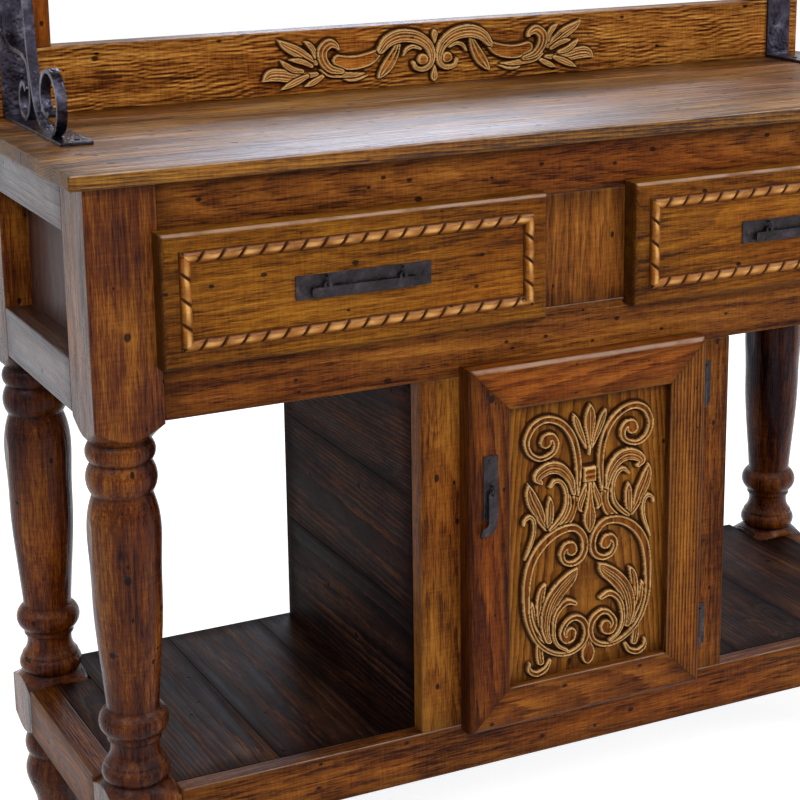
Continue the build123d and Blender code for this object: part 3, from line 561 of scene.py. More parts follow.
# ---- materials ----------------------------------------------------------------------------
pine = wood("pine", rgb(60, 26, 8), rgb(124, 72, 23), rgb(176, 118, 42), fibre=0.65, holes=0.8)
rail_pine = wood(
    "rail_pine", rgb(52, 22, 8), rgb(112, 63, 22), rgb(162, 104, 38),
    fibre=0.65, glaze_and_shade=0.7, holes=0.8,
)
post_pine = wood(
    "post_pine", rgb(64, 26, 8), rgb(130, 70, 21), rgb(176, 108, 36),
    glaze_and_shade=0.5, knots=0.3,
)
leg_pine = wood(
    "leg_pine", rgb(34, 11, 6), rgb(90, 44, 14), rgb(164, 104, 34),
    ring=0.0, blotch=1.1, rough=0.19, shine=0.09, wear_and_highlight=0.05, groove=0.03, sheen=(0.7, 0.8, 1.0),
)
side_pine = wood(
    "side_pine", rgb(30, 15, 9), rgb(72, 44, 30), rgb(116, 82, 58),
    ring=0.3, fibre=0.7, shine=0.42, rough=0.32, brushed=0.8, wear_and_highlight=0.2, sheen=(0.52, 0.66, 1.0),
)
side_board = wood(
    "side_board", rgb(36, 18, 14), rgb(68, 42, 32), rgb(106, 74, 54),
    shine=0.25, rough=0.4, sheen=(0.7, 0.8, 1.0),
)
front_pine = wood(
    "front_pine", rgb(68, 34, 7), rgb(121, 72, 16), rgb(172, 117, 34),
    blotch=0.45, fibre=0.65, knots=0.2, glaze_and_shade=0.5, rough=0.28, dark_x_faces=0.8,
)
top_pine = wood(
    "top_pine", rgb(50, 24, 6), rgb(120, 76, 18), rgb(178, 124, 38),
    ring=0.3, fibre=0.75, blotch=0.7, holes=0.9, rough=0.40, shine=0.22, brushed=1.0, wear_and_highlight=0.8,
    scuff_and_sheen=0.26, sheen=(0.84, 0.90, 1.0),
)
door_pine = wood(
    "door_pine", rgb(54, 21, 7), rgb(108, 57, 17), rgb(158, 99, 33),
    ring=0.2, fibre=0.6, glaze_and_shade=0.7, rough=0.30, dark_x_faces=0.6,
)
stile_pine = wood(
    "stile_pine", rgb(50, 20, 7), rgb(110, 62, 20), rgb(162, 104, 36),
    ring=0.4, ring_pitch=0.0052,
)
dark_pine = wood(
    "dark_pine", rgb(17, 8, 7), rgb(42, 25, 20), rgb(98, 62, 40),
    ring=0.3, fibre=0.7, blotch=0.9, shine=0.02, rough=0.55, glaze_and_shade=0.8, wear_and_highlight=0.0,
)
shelf_pine = wood(
    "shelf_pine", rgb(20, 9, 6), rgb(46, 26, 17), rgb(98, 62, 36),
    ring=0.2, blotch=0.9, shine=0.025, rough=0.5, glaze_and_shade=0.8, wear_and_highlight=0.0,
)
box_pine = wood(
    "box_pine", rgb(110, 70, 36), rgb(158, 112, 66), rgb(190, 148, 96),
    ring=0.3, fibre=0.3, rough=0.6, glaze_and_shade=0.2,
)
carved_pine = wood(
    "carved_pine", rgb(66, 30, 8), rgb(118, 70, 20), rgb(162, 108, 36),
    ring=0.3, knots=0.0, glaze_and_shade=0.8, wear_and_highlight=0.0, carved=True, tan=rgb(216, 172, 112),
)
rope_pine = wood(
    "rope_pine", rgb(76, 36, 10), rgb(136, 82, 28), rgb(176, 118, 48),
    ring=0.0, knots=0.0, glaze_and_shade=0.0, wear_and_highlight=0.3, carved=True, tan=rgb(206, 156, 92),
)
wrought_iron = iron(
    "wrought_iron_hammered", rgb(34, 30, 38), rgb(66, 63, 77), rgb(126, 122, 138),
    metal=0.88, rough_low=0.18, corner=0.0026,
)
plate_iron = iron(
    "plate_iron", rgb(24, 19, 20), rgb(40, 34, 38), rgb(70, 60, 64),
    metal=0.7, rough_low=0.30, corner=0.0012,
)

LENGTHWAYS = {
    "front_upper_rail", "front_lower_rail", "rear_upper_rail", "rear_lower_rail",
    "shelf_front_rail", "shelf_rear_rail", "back_panel", "shelf_cleats", "cabinet_ceiling",
}
DARK_BOARDS = {"cabinet_back", "cabinet_ceiling", "back_panel", "shelf_cleats"}
IRON_WORDS = ("bracket", "hinges", "handle", "pull")


def wood_of(name):
    """A piece's wood, and the axis that its grain runs along."""
    if name.startswith("leg"):
        return leg_pine, "z"
    if name.startswith("hutch_post"):
        return post_pine, "z"
    if name.startswith("side_panel"):
        return side_board, "z"
    if name.startswith("side_"):
        return side_pine, "y"
    if name.startswith("shelf_stretcher"):
        return rail_pine, "y"
    if name.startswith("cabinet_side"):
        return dark_pine, "y"
    if name.startswith("cabinet_stile"):
        return pine, "z"
    if name in DARK_BOARDS:
        return dark_pine, "x" if name in LENGTHWAYS else "z"
    if name == "shelf_boards":
        return shelf_pine, "y"
    if name in ("top_slab", "upper_shelf"):
        return top_pine, "x"
    if name.startswith("door_stile"):
        return stile_pine if name.endswith("right") else door_pine, "z"
    if name in ("door_top_rail", "door_bottom_rail"):
        return door_pine, "x"
    if name.startswith("drawer") and name.endswith("front"):
        return front_pine, "x"
    if name.endswith("_box") or name == "drawer_guides":
        return box_pine, "y"
    if name.endswith("_bottom") and name.startswith("drawer"):
        return box_pine, "x"
    return rail_pine, "x" if name in LENGTHWAYS else "z"


# Boards paler or darker than the others of their wood.
BOARD_TONES = {
    "door_stile_left": -0.12,
    "door_top_rail": 0.12,
    "door_bottom_rail": -0.03,
    "centre_stile": 0.05,
    "cabinet_stile_right": -0.10,
    "leg_rear_right": -0.08,
}
REPLACED = {"door_panel", "door_carving", "backsplash", "backsplash_carving"}
REPLACED |= {f"drawer_{side}_rope_moulding" for side in ("left", "right")}
for name, obj in nodes.items():
    if name in REPLACED:
        continue
    if any(word in name for word in IRON_WORDS):
        obj.data.materials.clear()
        obj.data.materials.append(wrought_iron if name.startswith("bracket") else plate_iron)
        continue
    material, axis = wood_of(name)
    finish_board(obj, material, axis, BOARD_TONES.get(name, 0.0), turned=name.startswith("leg"))


# ---- carved boards ------------------------------------------------------------------------
STROKE_STEPS = 14  # between two rows of a stroke
STROKE_MARGIN = 4.0  # around a stroke, where it may round off what lies under it
RIB_HEIGHT = 0.85
CREST_BLUR, HOLLOW_BLUR = 1.3, 2.4  # how far around a spot it is compared with


class Relief:
    """A carved height field over a board's face, in millimetres, alike on both sides.

    A stroke's rows give the distance from the middle, the height above the base and the half
    width. The hand's sway keeps the two sides from being exact mirror images.
    """

    def __init__(self, xs, zs, middle_x, base_z, sway):
        self.xs, self.zs = xs, zs
        grid_x, grid_z = np.meshgrid(xs, zs, indexing="ij")
        waver = sway * np.sin(grid_z / 31.0 + 1.0) + 0.5 * sway * np.sin(grid_x / 19.0)
        self.a = np.abs(grid_x - middle_x + waver)
        self.b = grid_z - base_z + 0.6 * sway * np.sin(grid_x / 27.0 + 2.0)
        self.h = np.zeros_like(self.a)

    def cut(self, strokes):
        for points, kind, height, valley, ribs, over in strokes:
            self.stroke(points, kind, height, valley, ribs, over)

    def stroke(self, points, kind, height, valley, ribs, over):
        """Raise a hollowed band, a ribbed leaf or a plain dome."""
        line = through(points, STROKE_STEPS)
        reach = line[:, 2].max() + STROKE_MARGIN
        near = (
            (self.a > line[:, 0].min() - reach)
            & (self.a < line[:, 0].max() + reach)
            & (self.b > line[:, 1].min() - reach)
            & (self.b < line[:, 1].max() + reach)
        )
        a, b = self.a[near], self.b[near]
        best = np.full(a.shape, 1e9)
        index = np.zeros(a.shape, int)
        for k, (pa, pb, half) in enumerate(line):
            gap = np.hypot(a - pa, b - pb) - half
            closer = gap < best
            best = np.where(closer, gap, best)
            index = np.where(closer, k, index)
        tangent = np.gradient(line[:, :2], axis=0)
        tangent /= np.linalg.norm(tangent, axis=1)[:, None] + 1e-9
        offset = (a - line[index, 0]) * tangent[index, 1] - (b - line[index, 1]) * tangent[index, 0]
        half = np.maximum(line[index, 2], 0.3)
        q = np.clip(offset / half, -1, 1)
        e = -best
        rise = smoothstep(-0.7, 1.1, e)
        hollow = smoothstep(1.5, 2.9, e)
        h = height * rise
        if kind == "band":
            h -= valley * hollow
        elif kind == "leaf":
            h -= valley * hollow * (0.7 + 0.3 * np.abs(q))
            h += RIB_HEIGHT * np.cos(TURN * ribs * q) * smoothstep(1.6, 3.2, e)
        elif kind == "dome":
            h *= np.sqrt(np.clip(1 - q * q * 0.8, 0.05, 1))
        field = self.h[near]
        if over:
            field = field * np.where(e < 0, 0.25 + 0.75 * smoothstep(0.2, 2.6, -e), 1.0)
            field = np.where(e > -0.6, np.maximum(h, field * (e < 0)), field)
        else:
            field = np.maximum(field, h)
        self.h[near] = field

    def masks(self, step, crisp=(0.30, 0.85)):
        """Crest, hollow and lift of the carving, each 0 to 1, for the shader; crests take a painted
        highlight, hollows painted shade.
        """
        h = self.h
        rise = h - blurred(h, CREST_BLUR / step)
        crest_highlight = smoothstep(*crisp, rise) * smoothstep(3.0, 5.0, h)
        cavity_shade = smoothstep(0.3, 1.4, blurred(h, HOLLOW_BLUR / step) - h)
        lift = smoothstep(0.5, 2.0, h)
        return np.stack([crest_highlight, cavity_shade, lift], -1)


def carved_object(name, verts, faces, carve, smooth_faces):
    """A linked object of these faces, the first ones shaded smooth."""
    mesh = bpy.data.meshes.new(name)
    mesh.from_pydata(verts, [], faces)
    flat_faces = len(faces) - smooth_faces
    mesh.polygons.foreach_set("use_smooth", [True] * smooth_faces + [False] * flat_faces)
    put_vectors(mesh, "carve", carve)
    obj = bpy.data.objects.new(name, mesh)
    bpy.context.scene.collection.objects.link(obj)
    return obj


def carved_board(name, relief, face, back, masks, soft=0.0):
    """A closed board whose front face carries the relief; soft is its edges' radius."""
    xs, zs = relief.xs, relief.zs
    nx, nz = len(xs), len(zs)
    grid_x, grid_z = np.meshgrid(xs, zs, indexing="ij")
    front_y = face - relief.h
    if soft:
        sides = (grid_x - xs[0], xs[-1] - grid_x, grid_z - zs[0], zs[-1] - grid_z)
        from_edge = np.minimum.reduce(sides)
        inward = 1 - np.clip(from_edge / soft, 0, 1)
        front_y = front_y + soft * (1 - np.sqrt(np.clip(1 - inward**2, 0, 1)))
    front = np.stack([grid_x, front_y, grid_z], -1).reshape(-1, 3)
    ring = [(i, 0) for i in range(nx)] + [(nx - 1, j) for j in range(1, nz)]
    ring += [(i, nz - 1) for i in range(nx - 2, -1, -1)] + [(0, j) for j in range(nz - 2, 0, -1)]
    rim = np.array([(xs[i], back, zs[j]) for i, j in ring])
    verts = np.vstack([front, rim]) * MM
    index = np.arange(nx * nz).reshape(nx, nz)
    quads = np.stack([index[:-1, :-1], index[1:, :-1], index[1:, 1:], index[:-1, 1:]], -1)
    faces = quads.reshape(-1, 4).tolist()
    border = [int(index[i, j]) for i, j in ring]
    start = nx * nz
    count = len(ring)
    for k in range(count):
        n = (k + 1) % count
        faces.append([border[n], border[k], start + k, start + n])
    faces.append([start + k for k in range(count)][::-1])
    carve = np.zeros((len(verts), 3))
    carve[:start] = masks.reshape(-1, 3)
    return carved_object(name, verts.tolist(), faces, carve, len(faces) - count - 1)


# Strokes of the door's carving, from the middle of its panel.
# fmt: off
UPPER_SCROLL = [
    (19, 58, 1.4), (18, 76, 3.6), (17.5, 102, 4.8), (21, 125, 5), (28, 144, 5), (40, 159, 5),
    (55, 168, 5), (71, 170, 5), (86, 163, 5), (94.5, 149, 4.6), (95, 137, 4.2), (89, 125, 4),
    (77, 117.5, 3.8), (64, 119, 3.8), (54.5, 125.5, 4), (51.5, 136, 4.6), (57, 145, 5.4),
    (66, 144, 7), (67, 139, 8.6),
]
LOWER_SCROLL = [
    (27, -18, 8.6), (28, -13, 7), (36, -12, 5.4), (41.5, -19, 4.4), (41, -28, 3.8), (35, -36, 3.8),
    (23, -38, 4.2), (11, -31, 4.8), (6, -17, 5), (9.5, -1, 5), (21, 11, 5.2), (36.5, 13.5, 5.6),
    (56, 7.5, 6), (75, -7, 6.2), (88, -27, 6.2), (94, -51, 6), (95.5, -75, 5.4), (95, -99, 4.6),
    (89.5, -122, 4), (79, -143, 3.6), (62, -159, 3.4), (42, -167, 3.4), (24, -166, 3.6),
    (9, -157, 4), (3, -142, 4.6), (6.5, -127, 5), (18, -118, 4.6), (30, -119, 4), (39, -128, 4),
    (42, -138, 4.4), (37, -147, 5.4), (29, -145, 7), (28, -139, 8.6),
]
CLAW = [
    (26, 62, 3), (31, 82, 6), (44, 98, 8), (60, 103, 8.5), (75, 98, 7.5), (81, 91, 5.5),
    (75, 84.5, 3),
]
CLAW_STEM = [(28, 80, 6), (25, 60, 6.5), (25, 42, 6), (32, 26, 6.5), (48, 12, 5)]
INNER_HOOK = [
    (61, 76, 2.2), (54, 83, 3), (45, 81, 3.2), (38, 70, 3.2), (36, 54, 3.2), (39, 40, 3.4),
    (47, 28, 3.6), (60, 16, 3.4),
]
OUTER_LEAF = [(93, 85, 0.5), (91, 72, 6.5), (86, 58, 9), (80, 46, 8.5), (74, 32, 6.5), (66, 18, 4)]
SMALL_LEAF = [(61, 61, 1.4), (61, 51, 5), (61, 38, 5.6), (62, 24, 4.6), (60, 14, 3.5)]
LOW_HOOK = [
    (101, 28, 1.8), (99, 35, 2.6), (92, 38.5, 3), (86, 33, 3), (84.5, 20, 3), (87, 6, 2.8),
    (93, -9, 2.4), (98, -21, 1.2),
]
LEAF_ONE = [
    (17, -45, 0.6), (27, -57, 8.5), (41, -69, 10.5), (54, -84, 11), (62, -102, 11), (65, -124, 9),
    (62, -142, 6),
]
LEAF_TWO = [(66, -61, 1.5), (71, -70, 5), (74, -86, 6), (74, -104, 6), (72, -120, 5)]
LEAF_THREE = [(86, -85, 1.5), (87, -98, 5.5), (84, -114, 6.2), (77, -130, 5.5), (67, -144, 4)]
LOW_SCROLL = [
    (21, -96, 3.4), (33, -92, 4.6), (44, -98, 4.2), (52, -110, 3.6), (55, -125, 3.2), (54, -141, 3),
    (47, -154, 2.8), (35, -162, 2.6),
]
CROWN = [(0, 183, 0.6), (0, 172, 6.5), (0, 158, 8.6), (0, 144, 6), (0, 128, 3), (0, 112, 1.2)]
CROWN_SIDE = [(25, 172, 1), (21.5, 163, 4.6), (16, 149, 5), (10, 136, 3.8), (4, 122, 2)]
DROP = [(0, 74, 2.6), (0, 55, 4), (0, 38, 6.5), (0, 24, 9.5), (0, 12, 6.5), (0, 2, 1)]
DROP_SIDE = [(6, 72, 2), (10, 58, 4.4), (15, 46, 5), (15, 38, 3), (12, 33, 1)]
FOOT_STEM = [(77, -147, 4), (76, -160, 5.4), (74, -172, 5.2)]
FOOT_CLAW = [(91, -171, 1.6), (90.5, -182, 3.6), (80, -188.5, 4.4), (67, -184, 4), (60, -173, 2.6)]
BOTTOM_DROP = [(0, -150, 2.6), (0, -163, 6.5), (0, -172, 10.5), (0, -181, 8), (0, -188, 1)]
# fmt: on

# Line, kind, height, valley, ribs, and whether it lies over what is cut already.
DOOR_CUTS = (
    (CLAW_STEM, "leaf", 6.0, 1.2, 1, False),
    (OUTER_LEAF, "leaf", 7.5, 1.8, 2, False),
    (SMALL_LEAF, "leaf", 7.8, 2.2, 1, True),
    (INNER_HOOK, "band", 8.2, 1.6, 0, True),
    (CLAW, "leaf", 9.4, 1.2, 2, True),
    (LOW_HOOK, "band", 7.4, 1.4, 0, True),
    (UPPER_SCROLL, "band", 8.6, 2.8, 0, True),
    (LEAF_THREE, "leaf", 7.0, 1.4, 1, False),
    (LEAF_TWO, "leaf", 7.4, 1.4, 1, True),
    (LEAF_ONE, "leaf", 8.4, 1.8, 3, True),
    (LOWER_SCROLL, "band", 8.6, 2.8, 0, True),
    (LOW_SCROLL, "band", 8.8, 1.8, 0, True),
    (CROWN_SIDE, "leaf", 7.2, 1.8, 1, False),
    (CROWN, "leaf", 8.6, 1.6, 2, True),
    (DROP_SIDE, "leaf", 7.2, 1.4, 1, False),
    (DROP, "leaf", 8.6, 1.6, 2, True),
)
FOOT_CUTS = (
    (BOTTOM_DROP, "leaf", 7.6, 1.2, 1, False),
    (FOOT_STEM, "leaf", 7.4, 1.6, 1, False),
    (FOOT_CLAW, "band", 7.6, 1.6, 0, True),
)
# The grooved band that ties the stems together.
TIE_HEIGHT = 85.0
TIE_HALF = (10.0, 11.0)
TIE_LIFT = 8.6
TIE_GROOVE = 1.1
TIE_PITCH = 7.4
CHISEL_DEPTH = 0.16
STEP = 0.9  # between the points of a carved face

door_low, door_high = (v / MM for v in box_of("door_panel"))
panel_xs = np.arange(door_low[0], door_high[0] + STEP / 2, STEP)
panel_zs = np.arange(door_low[2], door_high[2] + STEP / 2, STEP)
panel_xs[-1], panel_zs[-1] = door_high[0], door_high[2]
door_middle = (door_low[2] + door_high[2]) / 2
door_relief = Relief(panel_xs, panel_zs, middle_x=2.0, base_z=door_middle, sway=0.8)
door_relief.cut(DOOR_CUTS)
tie_rise = door_relief.b - TIE_HEIGHT
tie = np.minimum(TIE_HALF[0] - door_relief.a, TIE_HALF[1] - np.abs(tie_rise))
tie_groove = TIE_GROOVE * np.cos(TURN * tie_rise / TIE_PITCH) * smoothstep(1.2, 2.6, tie)
tie_height = (TIE_LIFT + tie_groove) * smoothstep(-0.6, 1.4, tie)
under_tie = 0.3 * door_relief.h
door_relief.h = np.where(tie > -0.6, np.maximum(tie_height, under_tie), door_relief.h)
door_relief.cut(FOOT_CUTS)
chisel = np.sin(door_relief.a / 2.3 + np.sin(door_relief.b / 3.1) * 2)
chisel = CHISEL_DEPTH * chisel * np.sin(door_relief.b / 2.7)
door_relief.h += chisel * smoothstep(2.0, 4.0, door_relief.h)
door_masks = door_relief.masks(STEP)
door_panel = carved_board(
    "carved_door_panel", door_relief, door_low[1], door_high[1], door_masks
)
finish_board(door_panel, carved_pine, "z")
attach(door_panel, "door")
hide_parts("door_panel", "door_carving")

# Strokes of the backsplash's carving, from the middle of its lower edge.
# fmt: off
CREST = [
    (88, 55, 6), (78, 66, 8.5), (62, 73, 9.5), (44, 73.5, 9.5), (27, 69, 9), (12, 58, 7.6),
    (6, 43, 6), (9, 30, 4.6), (19, 24, 4), (31, 26, 3.4), (36, 34, 2.8),
]
CREST_LOBE = [(52, 45, 1.6), (46, 54, 3), (36, 57.5, 3), (24, 54, 2.6)]
HANG_LEAF = [(60, 62, 4), (66, 48, 7), (75, 33, 8.5), (84, 22, 6), (91, 14, 0.8)]
WAVE = [(90, 52, 5), (104, 44, 9), (122, 40, 10), (140, 40, 10), (156, 45, 8)]
HOOK = [
    (150, 29, 4), (168, 34, 6), (179, 47, 7), (180, 61, 7.5), (170, 70, 7), (160, 67, 4.6),
    (156, 61, 2),
]
UNDER_LEAF = [(112, 23, 1), (128, 22, 3.6), (150, 24, 4.6), (168, 27, 5), (182, 33, 1.5)]
UNDER_TIP = [(106, 20, 1), (122, 16.5, 3.4), (136, 16, 3.4), (145, 17, 1)]
TOP_LEAF = [(248, 79, 0.6), (236, 70, 6), (220, 62, 8), (205, 53, 7), (190, 44, 4)]
TOP_LOBE = [(206, 75, 1), (199, 70, 4), (193, 62, 4), (190, 52, 3)]
MID_LEAF = [(244, 50, 0.8), (236, 43, 4), (224, 36, 4.4), (210, 33, 3)]
MID_LOBE = [(230, 50, 1), (220, 49, 3.6), (208, 46, 4), (196, 40, 3)]
LOW_LEAF = [(272, 21, 0.6), (260, 29, 8), (244, 29, 9), (226, 26, 8), (206, 26, 5), (188, 28, 3)]
LOW_TIP = [(243, 8, 0.8), (230, 14, 4.4), (216, 20, 5), (202, 26, 3)]
LOW_LOBE = [(206, 11, 0.8), (196, 15, 4), (186, 20, 4), (176, 26, 2.4)]
BUD = [(0, 80, 1), (0, 74, 5), (0, 66, 3), (0, 60, 1)]
LOW_BUD = [(0, 5, 1), (0, 12, 5.5), (0, 20, 4), (0, 28, 1.4)]
BALL = [(20, 38, 8.4), (20.5, 38, 8.4)]
# fmt: on

SPLASH_CUTS = (
    (LOW_LEAF, "leaf", 6.5, 1.4, 2, False),
    (LOW_TIP, "leaf", 6.0, 1.2, 1, True),
    (LOW_LOBE, "leaf", 6.0, 1.2, 1, True),
    (MID_LEAF, "leaf", 6.4, 1.2, 1, True),
    (TOP_LEAF, "leaf", 7.0, 1.4, 2, True),
    (MID_LOBE, "leaf", 6.8, 1.2, 1, True),
    (TOP_LOBE, "leaf", 6.6, 1.2, 1, True),
    (UNDER_TIP, "leaf", 5.6, 1.0, 1, False),
    (UNDER_LEAF, "leaf", 6.4, 1.2, 1, True),
    (WAVE, "band", 8.4, 3.4, 0, True),
    (HOOK, "leaf", 8.8, 1.6, 1, True),
    (HANG_LEAF, "leaf", 7.6, 2.2, 1, False),
    (CREST_LOBE, "band", 7.4, 1.2, 0, True),
    (CREST, "leaf", 9.6, 1.0, 2, True),
    (BALL, "dome", 8.4, 0.0, 0, True),
    (BUD, "leaf", 6.0, 0.8, 1, False),
    (LOW_BUD, "leaf", 6.4, 0.8, 1, False),
)
PLAIN_FROM = 290.0  # no carving beyond this, so wider steps are enough
PLAIN_STEPS = 40
RIPPLE_DEPTH = 0.36
RIPPLE_RISE = 1.2  # the plain field lies this many ripples above the ends' face
SPLASH_EDGE = 1.6

splash_low, splash_high = (v / MM for v in box_of("backsplash"))
fine_x = np.arange(-PLAIN_FROM, PLAIN_FROM + STEP / 2, STEP)
side_x = np.linspace(-splash_high[0], -PLAIN_FROM - 2.0, PLAIN_STEPS)
edge_x = -splash_high[0] + np.array([0.0, 0.2, 0.6, 1.1, SPLASH_EDGE])
left_x = np.concatenate([edge_x, side_x[side_x > edge_x[-1] + 1]])
splash_xs = np.concatenate([left_x, fine_x, -left_x[::-1]])
splash_zs = np.arange(splash_low[2], splash_high[2] + STEP / 2, STEP)
splash_zs[-1] = splash_high[2]
splash_relief = Relief(splash_xs, splash_zs, middle_x=3.0, base_z=splash_low[2], sway=1.0)
splash_relief.cut(SPLASH_CUTS)
grid_x, grid_z = np.meshgrid(splash_xs, splash_zs, indexing="ij")
bend = 4.0 * np.sin(grid_x / 61.0 + 1.3) + 2.4 * np.sin(grid_x / 23.0 + grid_z / 17.0)
bend = bend + 1.3 * np.sin(grid_x / 9.7 + 2.0)
wander = 2.3 * np.sin(grid_x / 37.0 + 0.8 * np.sin(grid_z / 15.0))
swell = np.sin(TURN * (grid_z + bend) / 6.9 + wander)
wander = 2.6 * np.sin(grid_x / 23.0 + 1.0)
swell += 0.7 * np.sin(TURN * (grid_z - 0.7 * bend) / 4.7 + wander)
swell *= 0.65 + 0.35 * np.sin(grid_x / 37.0 + grid_z / 13.0)
plain = 1 - smoothstep(0.2, 2.0, splash_relief.h)
splash_masks = splash_relief.masks(STEP, crisp=(0.14, 0.55))
splash_relief.h += RIPPLE_DEPTH * (swell - RIPPLE_RISE) * plain
splash = carved_board(
    "carved_backsplash", splash_relief, splash_low[1], splash_high[1], splash_masks, SPLASH_EDGE
)
carved_splash = wood(
    "carved_splash", rgb(78, 36, 12), rgb(158, 100, 38), rgb(216, 160, 78),
    ring=0.1, fibre=0.7, brushed=0.9, glaze_and_shade=0.5, wear_and_highlight=0.4,
    carved=True, tan=rgb(224, 184, 122), body=(1.15, 1.02, 0.9),
)
ripple = np.zeros(len(splash.data.vertices))
ripple[: swell.size] = (swell * plain).ravel()
finish_board(splash, carved_splash, "x", ripple=ripple)
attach(splash, "case")
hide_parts("backsplash", "backsplash_carving")


# ---- rope mouldings -----------------------------------------------------------------------
ROPE_WIDTH = 15.0
ROPE_SPACING = {True: 26.0, False: 33.0}  # about this far between cuts, along and up
ROPE_STEP = 1.1
ROPE_SLANT = 0.8
ROPE_CUT = (1.5, 3.2)  # half width of a cut's floor and of its mouth
CUT_DEPTH = 0.42
STRAND_SINK = 0.30  # how much a strand falls away towards its cuts
ROUND_SAMPLES = 17


def rope(side):
    """A half-round moulding with slanting cuts, mitred at its four corners."""
    low, high = (v / MM for v in box_of(f"drawer_{side}_rope_moulding"))
    face, relief = high[1], high[1] - low[1]
    half_width = ROPE_WIDTH / 2
    middle = (low + high) / 2
    verts, faces, carve = [], [], []
    across = np.linspace(-1, 1, ROUND_SAMPLES)
    for turn in range(4):
        along_x = turn % 2 == 0
        length = (high - low)[0 if along_x else 2]
        reach = (high - low)[2 if along_x else 0] / 2 - half_width
        count = int(length / ROPE_STEP)
        pitch = length / round(length / ROPE_SPACING[along_x])
        base = len(verts)
        for i in range(count + 1):
            share = i / count
            for q in across:
                sideways = q * half_width
                outward = reach + sideways
                half = length / 2 - half_width + sideways
                s = -half + 2 * half * share
                phase = ((s - sideways * ROPE_SLANT) / pitch + 0.5) % 1.0
                groove = abs(phase - 0.5) * pitch
                mask = 1 - smoothstep(*ROPE_CUT, groove)
                sunk = smoothstep(pitch * 0.1, pitch * 0.5, pitch / 2 - groove)
                swell = 1 - STRAND_SINK * sunk
                dome = math.sqrt(max(0.0, 1 - abs(q) ** 2.4))
                height = relief * dome * swell * (1 - CUT_DEPTH * mask)
                if along_x:
                    x, z = (s, outward) if turn == 0 else (-s, -outward)
                else:
                    x, z = (outward, -s) if turn == 1 else (-outward, s)
                verts.append(((middle[0] + x) * MM, (face - height) * MM, (middle[2] + z) * MM))
                uneven = 0.6 + 0.4 * math.sin(s * 0.153 + turn)
                # each strand's ridge is painted tan as a highlight, and its cuts and falling sides
                # darkened as painted shade
                crest_highlight = smoothstep(0.93, 0.998, dome) * (1 - mask) * uneven
                cavity_shade = max(mask, 1 - smoothstep(0.35, 0.93, dome))
                carve.append((crest_highlight, cavity_shade * 0.95, 0.3))
        n = len(across)
        for i in range(count):
            for k in range(n - 1):
                a = base + i * n + k
                faces.append((a, a + 1, a + n + 1, a + n))
    obj = carved_object(f"rope_{side}", verts, faces, np.array(carve), len(faces))
    finish_board(obj, rope_pine, "x")
    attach(obj, f"drawer_{side}")
    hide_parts(f"drawer_{side}_rope_moulding")


for side in ("left", "right"):
    rope(side)


# ---- floor, light and camera --------------------------------------------------------------
FLOOR_REACH = 30.0
FLOOR_TONE = 0.78
FLOOR_GLOW = 0.80  # the floor seen, not its light on the piece
WORLD_LIGHT = 0.28  # the white world is this bright except where it is seen


def is_seen(s):
    """1 where a ray shows what it meets: straight, mirrored or through glass."""
    path = s.node("ShaderNodeLightPath").outputs
    return s.most(path["Is Camera Ray"], path["Is Glossy Ray"], path["Is Transmission Ray"])


floor_shader = Shader("pale_floor")
diffuse = floor_shader.node("ShaderNodeBsdfDiffuse")
diffuse.inputs["Color"].default_value = (FLOOR_TONE, FLOOR_TONE, FLOOR_TONE, 1)
glow = floor_shader.node("ShaderNodeEmission")
floor_shader.put(glow.inputs["Strength"], floor_shader.mul(is_seen(floor_shader), FLOOR_GLOW))
both = floor_shader.node("ShaderNodeAddShader")
floor_shader.put(both.inputs[0], diffuse.outputs[0])
floor_shader.put(both.inputs[1], glow.outputs[0])
floor_shader.put(floor_shader.out, both.outputs[0])
floor_mesh = bpy.data.meshes.new("floor")
corners = [(-FLOOR_REACH, -FLOOR_REACH, 0), (FLOOR_REACH, -FLOOR_REACH, 0)]
corners += [(FLOOR_REACH, FLOOR_REACH, 0), (-FLOOR_REACH, FLOOR_REACH, 0)]
floor_mesh.from_pydata(corners, [], [(0, 1, 2, 3)])
floor_mesh.materials.append(floor_shader.owner)
floor = bpy.data.objects.new("floor", floor_mesh)
bpy.context.scene.collection.objects.link(floor)

world = bpy.data.worlds.new("studio")
bpy.context.scene.world = world
sky = Shader(world, "ShaderNodeOutputWorld")
background = sky.node("ShaderNodeBackground")
background.inputs["Color"].default_value = (1, 1, 1, 1)
brightness = sky.step(is_seen(sky), 0.0, 1.0, WORLD_LIGHT, 1.0, smooth=False)
sky.put(background.inputs["Strength"], brightness)
sky.put(sky.out, background.outputs[0])


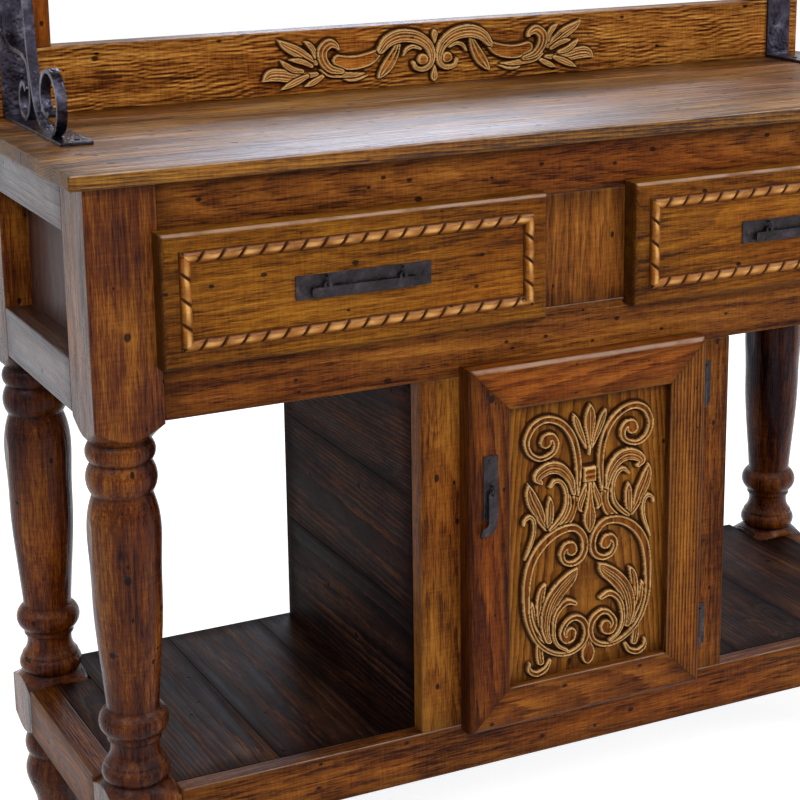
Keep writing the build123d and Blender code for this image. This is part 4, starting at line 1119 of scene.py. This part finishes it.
def lamp(name, place, target, size, watts, colour, mirrored=True):
    """A square lamp; one that is not mirrored leaves no highlight of its own."""
    light = bpy.data.lights.new(name, "AREA")
    light.shape = "SQUARE"
    light.size = size
    light.energy = watts
    light.color = colour
    obj = bpy.data.objects.new(name, light)
    obj.visible_glossy = mirrored
    obj.location = place
    obj.rotation_euler = (Vector(target) - Vector(place)).to_track_quat("-Z", "Y").to_euler()
    bpy.context.scene.collection.objects.link(obj)


# fmt: off
lamp("key", (-1.3, -3.8, 3.1), (0, 0, 0.7),
     size=1.4, watts=92, colour=(1.0, 0.97, 0.93), mirrored=False)
lamp("spark", (-2.4, -1.4, 2.9), (0, 0, 0.8), size=0.20, watts=28, colour=(0.80, 0.88, 1.0))
lamp("edge", (1.3, -1.0, 3.2), (0, -0.2, 0.8), size=0.3, watts=34, colour=(0.86, 0.91, 1.0))
lamp("fill", (3.2, -3.0, 1.8), (0, 0, 0.6),
     size=2.2, watts=68, colour=(1.0, 0.97, 0.94), mirrored=False)
lamp("side", (-4.0, 0.6, 2.2), (-0.6, 0, 0.7), size=2.0, watts=8, colour=(0.45, 0.62, 1.0))
lamp("back", (1.5, 3.5, 2.3), (0.2, 0, 1.0), size=1.2, watts=58, colour=(0.66, 0.79, 1.0))
# fmt: on

EYE = Vector((-1.3385, -2.4465, 1.445))
YAW, PITCH, ROLL = 26.84, -14.75, -0.47  # degrees
LENS, SENSOR = 91.6, 36  # millimetres
SHIFT = (-0.05, -0.10)
yaw, pitch, roll = (math.radians(v) for v in (YAW, PITCH, ROLL))
ahead = math.cos(pitch)
forward = Vector((math.sin(yaw) * ahead, math.cos(yaw) * ahead, math.sin(pitch)))
level = Vector((math.cos(yaw), -math.sin(yaw), 0))
above = level.cross(forward)
right = math.cos(roll) * level + math.sin(roll) * above
up = math.cos(roll) * above - math.sin(roll) * level
camera_data = bpy.data.cameras.new("camera")
camera_data.lens = LENS
camera_data.sensor_width = SENSOR
camera_data.shift_x, camera_data.shift_y = SHIFT
camera = bpy.data.objects.new("camera", camera_data)
camera.matrix_world = Matrix((
    (right.x, up.x, -forward.x, EYE.x),
    (right.y, up.y, -forward.y, EYE.y),
    (right.z, up.z, -forward.z, EYE.z),
    (0, 0, 0, 1),
))
bpy.context.scene.collection.objects.link(camera)
bpy.context.scene.camera = camera
bpy.context.scene.view_settings.view_transform = "Standard"
